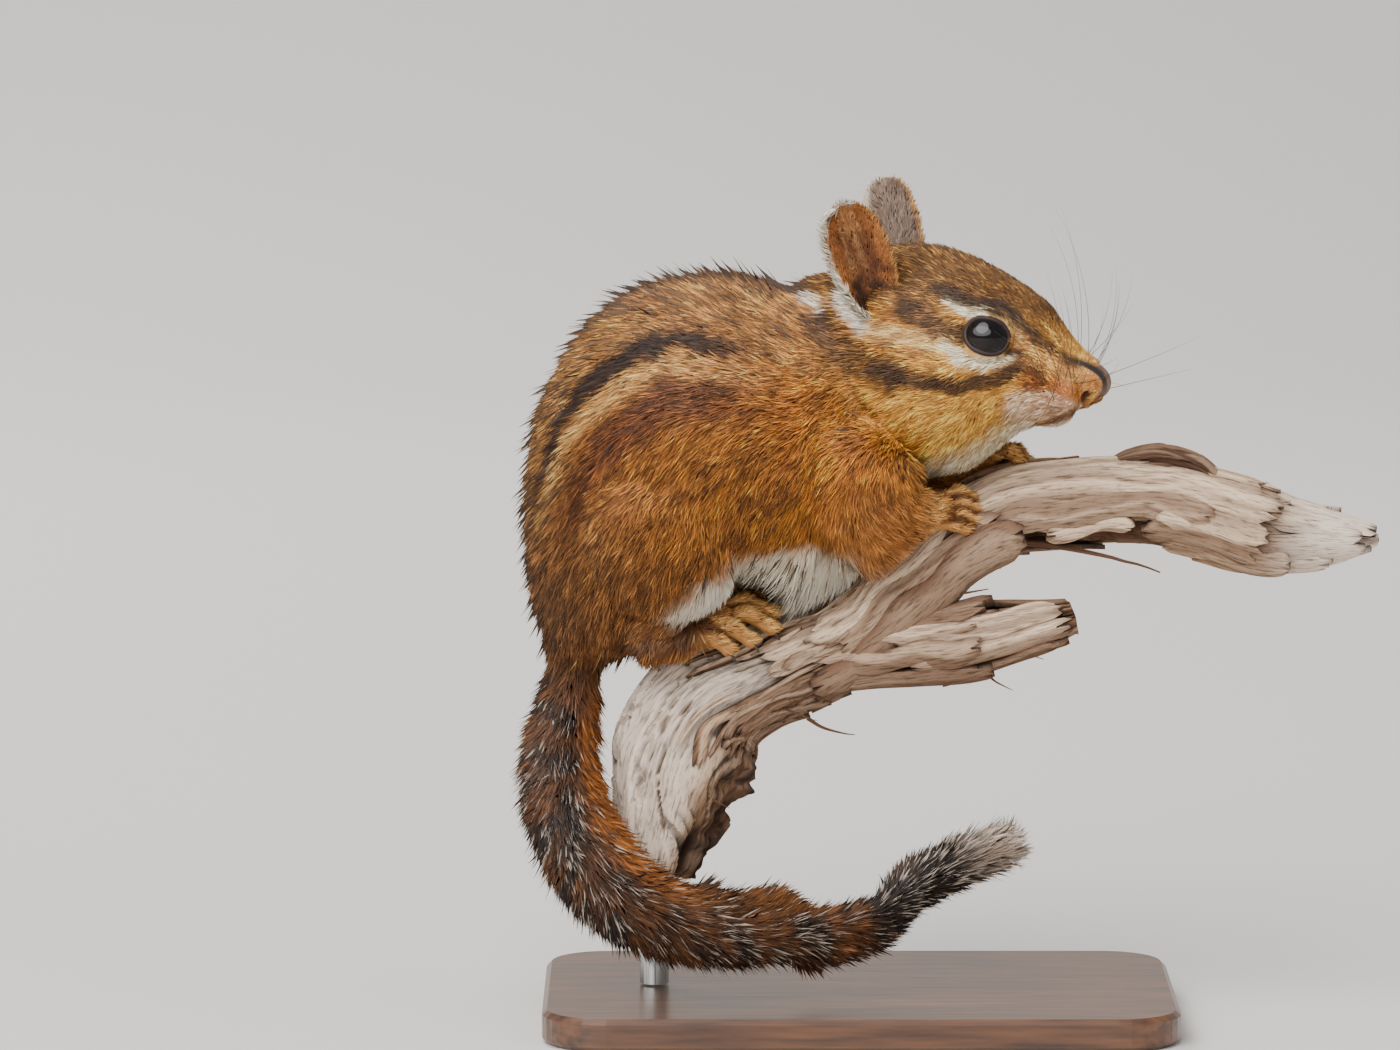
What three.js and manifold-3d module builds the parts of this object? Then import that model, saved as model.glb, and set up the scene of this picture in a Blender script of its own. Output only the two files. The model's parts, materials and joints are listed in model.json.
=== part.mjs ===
// A life-size chipmunk crouched on a short length of weathered branch, on a plain display stand.
// Millimetres, +Z up, +X the way the animal faces, +Y its left side. The origin is the centre of the
// stand's underside. The coat's long hair on the tail is built as tapered locks, and short fur lies
// within the outline of each body part.
import * as THREE from "three";
import { mergeVertices } from "three/addons/utils/BufferGeometryUtils.js";
import Module from "manifold-3d";

const wasm = await Module();
wasm.setup();

// Driving dimensions
const gap = 0.3; // clearance between touching parts
const baseLength = 96;
const baseDepth = 60;
const baseThickness = 5;
const baseCorner = 9;
const baseBevel = 0.8;
const rodRadius = 2.2;
const rodPlace = -31.2; // along the base, under the sawn end of the branch
const rodTop = 24.4;
const headPivot = [0, 0, 102];
const headYaw = THREE.MathUtils.degToRad(-15); // the face turns a little to the animal's right
const headRoll = THREE.MathUtils.degToRad(3); // and its left side is a little higher
const eyeRadius = 3.7;
const lidOpening = 3.45; // radius of the lid's rim
const lidRoll = 0.85; // and of its section
const lidReach = 1.9; // how far out from the eye's centre the rim lies
const lipRoll = 0.75;
const lipDrop = 0.8; // each lip lies so far above or below the line of the mouth
const mouthGroove = 0.4;
const earLength = 19.8;
const earWidth = 10;
const earThickness = 0.9;
const toeRadius = 1.25;
const clawLength = 1.7;
const clawRadius = 0.55;
const clawDrop = 0.9; // how far a claw's point hooks down
const lockEvery = 1.5; // along the tail, one lock after the other
const spiralTurn = Math.PI * (3 - Math.sqrt(5)); // round the tail from one lock to the next
const firstLocks = 0.06; // the first, clear of the torso, as a share of the line
const lockLength = 8; // of the shortest, which grows with the tail's size
const lockWidth = 0.42; // half the width of a lock, as a share of the tail's half size
const lockFlatness = 0.3; // thickness of a lock as a share of its width
const brushLocks = 4; // at the tail's tip
const brushStart = 0.985;
const brushLength = 8.5;
const brushWidth = 1.9;
const brushReach = 0.55;
const coreFullTo = 0.15; // up to here from the root the core fills out to the outline
const coreShare = 0.5; // the tail's core as a share of its outline

// Finishes
function finish(color, roughness) {
  return new THREE.MeshStandardMaterial({ color, roughness, metalness: 0 });
}
const coatBrown = finish(0xa8682c, 0.85);
const coatFace = finish(0xb47838, 0.85);
const coatTail = finish(0x5a4028, 0.9);
const pawTan = finish(0xc08848, 0.8);
const earBrown = finish(0x7c4c30, 0.85);
const eyeBlack = finish(0x0c0a0a, 0.08);
const weatheredWood = finish(0xb4a494, 0.9);
const standWood = finish(0x4a3222, 0.45);
const rodSteel = new THREE.MeshStandardMaterial({ color: 0x9a9a98, roughness: 0.3, metalness: 1 });

// Small vector helpers
const vec = (p) => new THREE.Vector3(...p);
const sideways = new THREE.Vector3(0, 1, 0);
const upwards = new THREE.Vector3(0, 0, 1);

// One station of a body: its centre, and its half sizes sideways, above and below
function ring(x, y, z, side, above, below = above) {
  return { at: [x, y, z], side, above, below };
}

// A seeded draw, so that every build gives the same part
function seeded(seed) {
  let state = seed;
  return () => {
    state = (state * 1664525 + 1013904223) % 4294967296;
    return state / 4294967296;
  };
}

// Solids and meshes
function toSolid(geometry) {
  const bare = geometry.clone();
  for (const extra of ["normal", "uv"]) bare.deleteAttribute(extra);
  const merged = mergeVertices(bare, 1e-4);
  return new wasm.Manifold(
    new wasm.Mesh({
      numProp: 3,
      vertProperties: new Float32Array(merged.attributes.position.array),
      triVerts: new Uint32Array(merged.index.array),
    }),
  );
}

function toGeometry(solid) {
  const { numProp, vertProperties, triVerts } = solid.getMesh();
  const positions = new Float32Array((vertProperties.length / numProp) * 3);
  for (let i = 0; i < positions.length / 3; i++) {
    positions.set(vertProperties.subarray(i * numProp, i * numProp + 3), i * 3);
  }
  const geometry = new THREE.BufferGeometry();
  geometry.setAttribute("position", new THREE.BufferAttribute(positions, 3));
  geometry.setIndex(new THREE.BufferAttribute(triVerts, 1));
  geometry.computeVertexNormals();
  return geometry;
}

const joined = (solids) => solids.reduce((sum, solid) => sum.add(solid));

function largest(solid) {
  const bodies = solid.decompose();
  return bodies.reduce((best, body) => (body.volume() > best.volume() ? body : best));
}

// A closed mesh from rings of equal count, with a point at each end
function skinOfRings(rings, firstPole, lastPole) {
  const around = rings[0].length;
  const positions = [...rings.flat(), firstPole, lastPole].flatMap((p) => p.toArray());
  const first = rings.length * around;
  const faces = [];
  for (let j = 0; j < around; j++) {
    const next = (j + 1) % around;
    faces.push(first, next, j);
    for (let i = 0; i < rings.length - 1; i++) {
      const [a, b] = [i * around + j, i * around + next];
      faces.push(a, b, b + around, a, b + around, a + around);
    }
    const last = (rings.length - 1) * around;
    faces.push(last + j, last + next, first + 1);
  }
  const geometry = new THREE.BufferGeometry();
  geometry.setAttribute("position", new THREE.Float32BufferAttribute(positions, 3));
  geometry.setIndex(faces);
  return geometry;
}

// The smooth line through a list of stations, with the half sizes and any set upward ways along it
function spine(stations) {
  const line = (points) => new THREE.CatmullRomCurve3(points, false, "catmullrom", 0.5);
  return {
    path: line(stations.map((s) => vec(s.at))),
    sizes: line(stations.map((s) => new THREE.Vector3(s.side, s.above, s.below))),
    ups: stations[0].up && line(stations.map((s) => s.up)),
  };
}

// A round body along the stations, with a dome of so many steps at its start and at its end.
// relief(t, angle) scales the radius, and pear makes the section narrower above than below.
function ringBody(stations, options = {}) {
  const { around = 18, along = 12, dome = 0.8, domeSteps = [3, 3], grow = 0 } = options;
  const { lateral = sideways, pear = 0, relief = () => 1 } = options;
  const { path, sizes, ups } = spine(stations);
  const rings = [];
  const poles = [];
  const addRing = (t, shrink, push) => {
    const centre = path.getPoint(t);
    const forward = path.getTangent(t);
    const side = lateral.clone().addScaledVector(forward, -lateral.dot(forward)).normalize();
    const up = ups ? ups.getPoint(t).normalize() : forward.clone().cross(side);
    const size = sizes.getPoint(t);
    const reach = dome * Math.min(size.x, (size.y + size.z) / 2) + grow;
    centre.addScaledVector(forward, push * reach);
    if (shrink === 0) {
      poles.push(centre);
      return;
    }
    rings.push(Array.from({ length: around }, (_, j) => {
      const angle = (2 * Math.PI * j) / around;
      const swell = shrink * relief(t, angle);
      const wide = (size.x + grow) * swell * (1 - pear * Math.sin(angle));
      const tall = ((Math.sin(angle) > 0 ? size.y : size.z) + grow) * swell;
      return centre.clone()
        .addScaledVector(side, Math.cos(angle) * wide)
        .addScaledVector(up, Math.sin(angle) * tall);
    }));
  };
  const addDome = (t, k, steps, way) => {
    const turn = (k / steps) * (Math.PI / 2);
    addRing(t, k === steps ? 0 : Math.cos(turn), way * Math.sin(turn));
  };
  const [startSteps, endSteps] = domeSteps;
  for (let k = startSteps; k > 0; k--) addDome(0, k, startSteps, -1);
  for (let i = 0; i <= along; i++) addRing(i / along, 1, 0);
  for (let k = 1; k <= endSteps; k++) addDome(1, k, endSteps, 1);
  return toSolid(skinOfRings(rings, poles[0], poles[1]));
}

// An ellipsoid with half sizes along its own axes, turned by Euler angles in radians
function lobe(centre, halfSizes, options = {}) {
  const { turn = [0, 0, 0], detail = [20, 14], grow = 0 } = options;
  const geometry = new THREE.SphereGeometry(1, ...detail);
  const matrix = new THREE.Matrix4().compose(
    vec(centre),
    new THREE.Quaternion().setFromEuler(new THREE.Euler(...turn)),
    new THREE.Vector3(...halfSizes.map((h) => h + grow)),
  );
  return toSolid(geometry.applyMatrix4(matrix));
}

// The half of space in front of a plane, as a large box kept half a gap away from it
function beyond(point, normal) {
  const reach = 400;
  const direction = vec(normal).normalize();
  const geometry = new THREE.BoxGeometry(reach, reach, reach);
  const centre = vec(point).addScaledVector(direction, reach / 2 + gap / 2);
  const turn = new THREE.Quaternion().setFromUnitVectors(upwards, direction);
  return toSolid(geometry.applyQuaternion(turn).translate(...centre.toArray()));
}
const opposite = (normal) => normal.map((n) => -n);

// The head's own frame: x to the nose, y to the animal's left, z up, from the neck pivot
const headFrame = new THREE.Matrix4().makeRotationZ(headYaw)
  .multiply(new THREE.Matrix4().makeRotationX(headRoll)).setPosition(...headPivot);
const toHeadPlace = (solid) => toSolid(toGeometry(solid).applyMatrix4(headFrame));

// An upright station of the head by its place along it, its top and bottom, and its half width
function headRing(x, top, bottom, side) {
  return { ...ring(x, 0, (top + bottom) / 2, side, (top - bottom) / 2), up: upwards };
}
const headStations = [
  headRing(-4, 13, -14, 11),
  headRing(2, 16, -18, 12.6),
  headRing(7.5, 17.3, -19.5, 13.6),
  headRing(12.6, 17, -19.2, 13.6),
  headRing(17, 15.6, -17.9, 12.6),
  headRing(21, 13.8, -14.8, 11),
  headRing(25, 11.4, -11.9, 9.1),
  headRing(28.8, 8.6, -10.7, 7.2),
  headRing(32, 4.5, -9.2, 5.3),
  headRing(34.7, 1.4, -7.8, 4.2),
  headRing(36.4, -0.9, -6.9, 3.1),
];
const headPear = 0.1;
const headSpine = spine(headStations);

// The point of the head's skin at a distance along it and an angle round it, in degrees from its left
function onHead(x, degrees, lift = 0) {
  let [low, high] = [0, 1];
  for (let i = 0; i < 30; i++) {
    const middle = (low + high) / 2;
    if (headSpine.path.getPoint(middle).x < x) low = middle;
    else high = middle;
  }
  const centre = headSpine.path.getPoint(low);
  const size = headSpine.sizes.getPoint(low);
  const angle = THREE.MathUtils.degToRad(degrees);
  const tall = Math.sin(angle) > 0 ? size.y : size.z;
  return [
    x,
    Math.cos(angle) * (size.x * (1 - headPear * Math.sin(angle)) + lift),
    centre.z + Math.sin(angle) * (tall + lift),
  ];
}

const eyeSpots = { right: [21.4, -7.6, 4], left: [21.4, 7.6, 4] };
const eyeOutward = { right: [0.22, -0.95, 0.2], left: [0.22, 0.95, 0.2] };

function eyeBall(side, grow = 0) {
  return lobe(eyeSpots[side], [eyeRadius, eyeRadius, eyeRadius], { detail: [14, 9], grow });
}

// A raised rim round the eye, in the plane where the eye leaves the head
function lidRim(side) {
  const outward = vec(eyeOutward[side]).normalize();
  const turn = new THREE.Quaternion().setFromUnitVectors(upwards, outward);
  const centre = vec(eyeSpots[side]).addScaledVector(outward, lidReach);
  const rim = new THREE.TorusGeometry(lidOpening, lidRoll, 5, 16);
  return toSolid(rim.applyQuaternion(turn).translate(...centre.toArray()));
}

// The mouth runs from under the nose back to its corner, as places along the head and angles round it
const mouthLine = [[34.8, -90], [33.9, -76], [32, -66], [29, -60], [26, -54], [24, -47]];
function mouthCord(side, drop, radius, lift) {
  const points = mouthLine.map(([x, degrees], i) => {
    const thin = radius * Math.min(1, 0.6 + 0.2 * i, 0.6 + 0.2 * (mouthLine.length - 1 - i));
    const angle = side > 0 ? degrees : -180 - degrees;
    const [px, py, pz] = onHead(x, angle, lift);
    return ring(px, py, pz - drop, thin, thin);
  });
  return ringBody(points, { around: 5, along: 5, domeSteps: [1, 1] });
}

// Nose, nostrils and the pads that carry the whiskers, in the head's frame on its left side
const noseSpot = [37.1, 0, -4.1];
const noseSize = [1.8, 2.4, 2.2];
const nostrilSpot = [38.1, 1.8, -5.1];
const nostrilSize = [1.3, 0.8, 0.65];
const padSpot = [32.2, 2.7, -4.9];
const padSize = [4.3, 3.1, 3.3];
function headSolid() {
  const nose = lobe(noseSpot, noseSize, { detail: [12, 8] });
  const pieces = [ringBody(headStations, { around: 24, along: 17, dome: 0.85, pear: headPear }), nose];
  for (const side of [-1, 1]) {
    const pad = [padSpot[0], side * padSpot[1], padSpot[2]];
    pieces.push(lobe(pad, padSize, { turn: [0, 0.2, -side * 0.3], detail: [10, 7] }));
    pieces.push(mouthCord(side, -lipDrop, lipRoll, -0.3), mouthCord(side, lipDrop, lipRoll, -0.3));
  }
  pieces.push(lidRim("right"), lidRim("left"));
  let head = joined(pieces);
  for (const side of [-1, 1]) {
    const spot = [nostrilSpot[0], side * nostrilSpot[1], nostrilSpot[2]];
    const nostril = lobe(spot, nostrilSize, { turn: [0.5 * side, 0.4, side * 0.8], detail: [8, 6] });
    head = head.subtract(nostril).subtract(mouthCord(side, 0, mouthGroove, 0.35));
  }
  return head.subtract(eyeBall("right", gap)).subtract(eyeBall("left", gap));
}

// Ear: a cupped leaf. Both faces share one outline, so that it closes.
const earRoots = { right: [6, -9.2, 7], left: [5.8, 9.4, 7.4] };
const earTurn = { right: 0.42, left: 0.2 }; // how far forward each cup faces
function earSolid(side, grow = 0) {
  const hand = side === "right" ? -1 : 1;
  const [rows, columns] = [7, 8];
  const root = vec(earRoots[side]);
  const along = new THREE.Vector3(-0.32, hand * 0.18, 0.93).normalize();
  const face = new THREE.Vector3(earTurn[side], hand * 0.9, 0.05);
  face.addScaledVector(along, -face.dot(along)).normalize();
  const across = along.clone().cross(face);
  const widest = 0.56;
  const halfWidth = (u) => {
    const fall = ((u - widest) / widest) ** 2 * (u < widest ? 0.55 : 1.62);
    return (earWidth / 2) * Math.sqrt(Math.max(0, 1 - fall));
  };
  const cup = (u, v) => (2.8 - 1.4 * u) * (v * v - 1) + 1.5 * u * u;
  const point = (u, v, half) => {
    const edge = Math.min(1, Math.sqrt(Math.max(0, 1 - v * v)) * 1.6 + 0.25);
    return root.clone()
      .addScaledVector(along, u * (earLength + grow) - 1.4)
      .addScaledVector(across, (halfWidth(u) + grow) * v)
      .addScaledVector(face, cup(u, v) + half * (earThickness * edge + 2 * grow));
  };
  const row = (u) => [
    ...Array.from({ length: columns + 1 }, (_, j) => point(u, -1 + (2 * j) / columns, 0.5)),
    ...Array.from({ length: columns + 1 }, (_, j) => point(u, 1 - (2 * j) / columns, -0.5)),
  ];
  const heights = Array.from({ length: rows + 1 }, (_, i) => Math.sin((i / rows) * (Math.PI / 2)) * 0.997);
  return toSolid(skinOfRings(heights.map(row), point(0, 0, 0), point(1, 0, 0)));
}

// Body, from the rump to the inside of the neck. Each section is set by its point on the back, its point
// on the belly, both as [x, z], and its half width, so that the sections of the hunched back fan out.
const widestShare = 0.42; // where a section is widest, from the belly up
function section([topX, topZ], [bottomX, bottomZ], side) {
  const span = new THREE.Vector3(topX - bottomX, 0, topZ - bottomZ);
  const height = span.length();
  return {
    at: [bottomX + widestShare * span.x, 0, bottomZ + widestShare * span.z],
    side,
    above: (1 - widestShare) * height,
    below: widestShare * height,
    up: span.normalize(),
  };
}
const torsoStations = [
  section([-48.4, 59.6], [-37, 55.2], 7),
  section([-50.2, 69], [-33, 56.6], 12.5),
  section([-50.4, 81], [-28, 59.5], 17),
  section([-47.2, 97], [-23.5, 62], 20),
  section([-37.6, 110], [-18.5, 63.5], 21.4),
  section([-25, 114.4], [-12.5, 65], 20.6),
  section([-12, 113.2], [-5.5, 68], 18),
  section([-3.5, 111.6], [2, 74], 14.6),
  section([2.6, 105], [6, 82], 9.5),
];
const torsoSolid = () => ringBody(torsoStations, { around: 22, along: 13, dome: 0.75 });

// The neck is one slice between the body and the head
const neckBack = { point: [-4.5, 0, 100], normal: [0.9, 0, 0.42] };
const neckFront = { point: [2, 0, 100], normal: [0.93, -0.1, 0.36] };

// Legs: each is an upper and a lower limb, joined at the elbow or knee
const hindlegOn = (hand) => [
  [
    ring(-33.5, hand * 11, 86, 8, 9),
    ring(-31, hand * 12.5, 79, 10.4, 13),
    ring(-27.4, hand * 13.2, 71, 9.2, 11.6),
    ring(-24.6, hand * 12.6, 65.6, 5.4, 6.6),
  ],
  [
    ring(-24.4, hand * 12, 67, 5, 6),
    ring(-28, hand * 11, 63.6, 4.6, 5.4),
    ring(-32, hand * 9.6, 60.6, 3.6, 3.8),
  ],
];
const legs = {
  foreleg_right: [
    [
      ring(-2.5, -10, 88, 7.4, 8.6),
      ring(-1.8, -12.4, 82.4, 5.8, 8.4),
      ring(-0.2, -13.2, 77.6, 4.4, 6),
    ],
    [
      ring(0.4, -13.2, 76.6, 4.2, 5.2),
      ring(4.6, -12.2, 77, 3.9, 4.7),
      ring(9, -9.9, 78.4, 3.2, 3.5),
    ],
  ],
  foreleg_left: [
    [
      ring(-0.5, 10, 87.6, 7.4, 8.6),
      ring(1.2, 12.2, 82.6, 5.6, 8),
      ring(3.8, 12.8, 78.8, 4.4, 5.8),
    ],
    [
      ring(4.4, 12.8, 78.2, 4.2, 5),
      ring(10.6, 11.2, 79.8, 3.8, 4.4),
      ring(17.2, 6.8, 83.6, 2.9, 3),
    ],
  ],
  hindleg_right: hindlegOn(-1),
  hindleg_left: hindlegOn(1),
};
const legSolid = (name, grow = 0) =>
  joined(legs[name].map((limb) => ringBody(limb, { around: 12, along: 4, domeSteps: [2, 2], grow })));

// A foot: a sole from heel or wrist to the ball, and toes that fan out from the ball, each with a claw.
// Each toe is a list of three points: knuckle, joint and tip.
const feet = {
  forepaw_right: {
    sole: [ring(9.2, -9.8, 78.4, 2.9, 3), ring(11.6, -7.8, 78.6, 2.8, 3.1)],
    toes: [
      [[11.8, -6.6, 80.2], [13.8, -5.6, 80.9], [15.4, -4.8, 80.2]],
      [[12, -7.4, 79.2], [14.2, -6.6, 79.4], [16, -6, 78.5]],
      [[12, -8, 77.9], [14.2, -7.6, 77.7], [15.8, -7, 76.7]],
      [[11.8, -8.2, 76.7], [13.4, -8, 76], [14.8, -7.4, 75]],
    ],
  },
  forepaw_left: {
    sole: [ring(17.6, 6.6, 83.9, 2.6, 2.8), ring(20.4, 5, 85.2, 2.5, 2.6)],
    toes: [
      [[20.6, 3.2, 86], [22.6, 1.8, 86.5], [24, 0.8, 85.3]],
      [[21.4, 4.2, 86], [23.6, 3.4, 86.3], [25, 2.9, 84.9]],
      [[21.4, 5.4, 85.6], [23.6, 5.4, 85.4], [24.8, 5.4, 83.7]],
      [[21, 6.4, 84.8], [22.8, 6.9, 84], [23.8, 7, 82.3]],
    ],
  },
  hindfoot_right: {
    sole: [ring(-32.4, -9.4, 58.8, 2.9, 2.6), ring(-26, -8.6, 59.4, 3, 2.4), ring(-19.6, -8, 61.8, 3.5, 2.6)],
    toes: [
      [[-19.6, -5.4, 63], [-16.4, -4.4, 64], [-13, -4, 63.6]],
      [[-18.8, -6.8, 62.8], [-15.2, -6.4, 63.6], [-11.8, -6.2, 62.2]],
      [[-18.6, -8.2, 62], [-15.2, -8.2, 62.3], [-12.6, -8, 60.2]],
      [[-19.2, -9.6, 61.2], [-16.4, -9.9, 60.8], [-14.4, -9.6, 58.6]],
      [[-21, -10.4, 60.4], [-18.8, -11, 59.4], [-17.6, -10.6, 57.4]],
    ],
  },
};
feet.hindfoot_left = {
  sole: feet.hindfoot_right.sole.map((s) => ring(s.at[0], -s.at[1], s.at[2], s.side, s.above)),
  toes: feet.hindfoot_right.toes.map((toe) => toe.map(([x, y, z]) => [x, -y, z])),
};
function footSolid(name, grow = 0) {
  const { sole, toes } = feet[name];
  const pieces = [ringBody(sole, { around: 10, along: 3, domeSteps: [2, 2], grow })];
  for (const [knuckle, joint, tip] of toes) {
    pieces.push(ringBody([
      ring(...knuckle, toeRadius * 1.1, toeRadius * 1.1),
      ring(...joint, toeRadius, toeRadius),
      ring(...tip, toeRadius * 0.85, toeRadius * 0.85),
    ], { around: 6, along: 2, domeSteps: [1, 2], dome: 0.9, grow }));
    const lead = vec(tip).sub(vec(joint)).normalize();
    const reach = (share) => vec(tip).addScaledVector(lead, share * clawLength)
      .addScaledVector(upwards, -clawDrop * share * share).toArray();
    pieces.push(ringBody([
      ring(...reach(0), clawRadius, clawRadius),
      ring(...reach(0.5), clawRadius * 0.8, clawRadius * 0.8),
      ring(...reach(1), clawRadius * 0.3, clawRadius * 0.3),
    ], { around: 4, along: 2, domeSteps: [1, 1], grow }));
  }
  return joined(pieces);
}

// Tail: its centre line and the outline of its long hair
const tailStations = [
  ring(-41.8, 0, 62, 6, 5.6),
  ring(-43, -0.6, 55.5, 6.2, 6),
  ring(-44, -2, 49.6, 6.8, 6.6),
  ring(-45.2, -5, 42, 7.6, 7.6),
  ring(-44.4, -9.6, 34.4, 8.2, 8.2),
  ring(-41, -13.6, 27.2, 8.5, 8.5),
  ring(-34.8, -16.4, 20.9, 8.3, 8.1),
  ring(-25.8, -17.2, 17.2, 7.5, 7.2),
  ring(-15.2, -16, 15.6, 6.5, 6),
  ring(-4.5, -14, 17, 5.9, 5.4),
  ring(4.5, -12.4, 20.4, 5.5, 5),
  ring(12.9, -11, 24.7, 5, 4.6),
  ring(20, -10.5, 27.4, 3.4, 3.2),
];
const tailParts = ["tail_root", "tail_upper", "tail_bend", "tail_lower", "tail_tip"];
const tailCuts = [0, 0.2, 0.4, 0.58, 0.79, 1]; // where each length ends, as a share of the line
const { path: tailPath, sizes: tailSizes } = spine(tailStations);
const tailLength = tailPath.getLength();

// A smooth stretch of the tail's core
function tailCore(from, to, grow) {
  const steps = 3;
  const stations = Array.from({ length: steps + 1 }, (_, i) => {
    const t = from + ((to - from) * i) / steps;
    const size = tailSizes.getPoint(t);
    const share = coreShare + (1 - coreShare) * Math.max(0, 1 - t / coreFullTo);
    return ring(...tailPath.getPoint(t).toArray(), size.x * share, size.y * share);
  });
  return ringBody(stations, { around: 7, along: 3, domeSteps: [1, 1], grow, dome: 0.3 });
}

// A place in the tail's coat: how far along the tail, the angle round it, and the share of the way out
// from its line to its outline. Past the end it goes straight on.
function inCoat(t, angle, share) {
  const onTail = Math.min(t, 1);
  const along = tailPath.getTangent(onTail);
  const side = sideways.clone().addScaledVector(along, -sideways.dot(along)).normalize();
  const up = along.clone().cross(side);
  const size = tailSizes.getPoint(onTail);
  const tall = Math.sin(angle) > 0 ? size.y : size.z;
  return tailPath.getPoint(onTail)
    .addScaledVector(along, (t - onTail) * tailLength)
    .addScaledVector(side, Math.cos(angle) * size.x * share)
    .addScaledVector(up, Math.sin(angle) * tall * share);
}

// A lock: a flat, tapered blade that leaves the core, bends over and lies along the tail. Its sections
// are ridges on a flat underside, and its tip ends on the tail's outline.
function lockSolid(t, angle, length, width, reach, grow) {
  const step = length / tailLength;
  const centre = (share, out) => inCoat(t + share * step, angle, out * reach);
  const cornerGrow = 1.6 * grow; // the corners of a three-sided section go out further than its sides
  const shape = [
    { share: 0.2, out: 0.62, wide: 1 },
    { share: 0.62, out: 0.92, wide: 0.85 },
  ];
  const rings = shape.map(({ share, out, wide }) => {
    const middle = centre(share, out);
    const outward = middle.clone().sub(inCoat(t + share * step, angle, 0)).normalize();
    const along = tailPath.getTangent(Math.min(1, t + share * step));
    const across = along.clone().cross(outward).normalize();
    const thick = width * wide * lockFlatness;
    const corner = (aside, away) =>
      middle.clone().addScaledVector(across, aside).addScaledVector(outward, away);
    const half = width * wide + cornerGrow;
    return [corner(half, -thick / 2 - grow), corner(-half, -thick / 2 - grow), corner(0, thick + cornerGrow)];
  });
  return toSolid(skinOfRings(rings, centre(-0.08, 0.3), centre(1 + grow / length, 1)));
}

// Locks set in a spiral round the core, so that they overlap evenly and make no rings
function tailLocks(from, to, grow) {
  const count = Math.round(((to - from) * tailLength) / lockEvery);
  const draw = seeded(Math.round(from * 1000) + 7);
  const locks = [];
  for (let i = 0; i < count; i++) {
    const t = from + ((to - from) * (i + 0.4)) / count;
    const size = tailSizes.getPoint(t).x;
    const angle = spiralTurn * i + 0.3 * draw();
    const length = (lockLength + size * 0.6) * (0.85 + 0.25 * draw());
    const reach = 0.93 + 0.12 * draw();
    if (t > firstLocks) locks.push(lockSolid(t, angle, length, size * lockWidth, reach, grow));
  }
  return locks;
}

// The tip is a brush of locks that close over the end of the core
function tailBrush(grow) {
  return Array.from({ length: brushLocks }, (_, j) =>
    lockSolid(brushStart, (2 * Math.PI * (j + 0.5)) / brushLocks, brushLength, brushWidth, brushReach, grow));
}

function tailSolid(index, grow = 0) {
  const [from, to] = [tailCuts[index], tailCuts[index + 1]];
  const isTip = index === tailParts.length - 1;
  return joined([tailCore(from, to, grow), ...tailLocks(from, to, grow), ...(isTip ? tailBrush(grow) : [])]);
}

// Perch: a length of weathered branch, sawn below and broken at its far end
const branchStations = [
  ring(-31.6, 0, 23.2, 7, 6.6),
  ring(-29.4, 0, 32.1, 8.4, 8.4),
  ring(-26.9, 0, 41, 9.4, 10),
  ring(-22.6, 0, 48.2, 9, 9),
  ring(-16.2, 0, 52.2, 7.8, 7.4),
  ring(-9.1, 0, 55.6, 7.2, 7.2),
  ring(-1.5, 0, 59.4, 6.6, 6.6),
  ring(6.1, 0, 65.5, 6.2, 6.2),
  ring(13.6, 0, 72.4, 5.9, 5.7),
  ring(21.2, 0, 77, 6, 6.1),
  ring(28.8, 0, 78.2, 6, 6.5),
  ring(36.4, 0, 78.8, 5.9, 6.2),
  ring(43.9, 0, 79, 5.8, 6.2),
  ring(51.5, 0, 77.1, 5.8, 6.8),
  ring(59.1, 0, 74.7, 5.6, 6.9),
  ring(65.2, 0, 74.1, 5, 6),
  ring(74.2, 0, 73.6, 3.2, 3.4),
  ring(79.4, 0, 73.2, 0.9, 0.8),
];
const perchParts = ["perch_lower", "perch_middle", "perch_end"];
const perchCuts = [
  { point: [-21, 0, 50.4], normal: [0.75, 0, 0.66] },
  { point: [25, 0, 77.6], normal: [1, 0, 0.15] },
];

// Long ridges and hollows that the weather leaves along the grain
const branchRelief = (t, angle) =>
  1 + 0.07 * Math.cos(3 * angle + 4 * t) + 0.05 * Math.cos(7 * angle - 9 * t + 1) +
  0.04 * Math.cos(5 * angle + 23 * t);

function branchSolid(grow = 0) {
  const grain = { relief: branchRelief, dome: 0.1, domeSteps: [1, 1] };
  const whole = ringBody(branchStations, { around: 12, along: 34, grow, ...grain });
  const flake = ringBody([
    ring(38.6, 0, 84.4, 2, 0.7),
    ring(42.4, 0, 86.6, 3.4, 1.2),
    ring(47, 0, 87.2, 4, 1.4),
    ring(51.8, 0, 85.6, 3.6, 1.3),
    ring(54.8, 0, 82, 2.4, 1.1),
  ], { around: 8, along: 7, dome: 0.3, domeSteps: [1, 1], grow });
  const splinter = ringBody([
    ring(22, 0.5, 72.4, 1.6, 1.3),
    ring(34, 0.5, 71, 1.1, 0.9),
    ring(45.4, 0.5, 68.4, 0.6, 0.5),
  ], { around: 6, along: 5, domeSteps: [1, 1], grow });
  return joined([whole, flake, splinter]);
}

// The broken lower strand, which leaves the branch under the animal and points forward
function prongSolid(grow = 0) {
  return ringBody([
    ring(-8, -1.5, 54.6, 4, 4),
    ring(0, -3, 56.2, 3.8, 5),
    ring(7.4, -3.8, 57, 3.6, 5.4),
    ring(14, -4.2, 57.9, 3.2, 5.2),
    ring(21.2, -4.4, 59.7, 2.8, 4.8),
    ring(28, -4.6, 61.4, 2.4, 3.8),
    ring(32.6, -4.6, 62.8, 1.8, 2.3),
  ], { around: 9, along: 9, dome: 0.2, domeSteps: [1, 1], grow });
}

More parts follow.
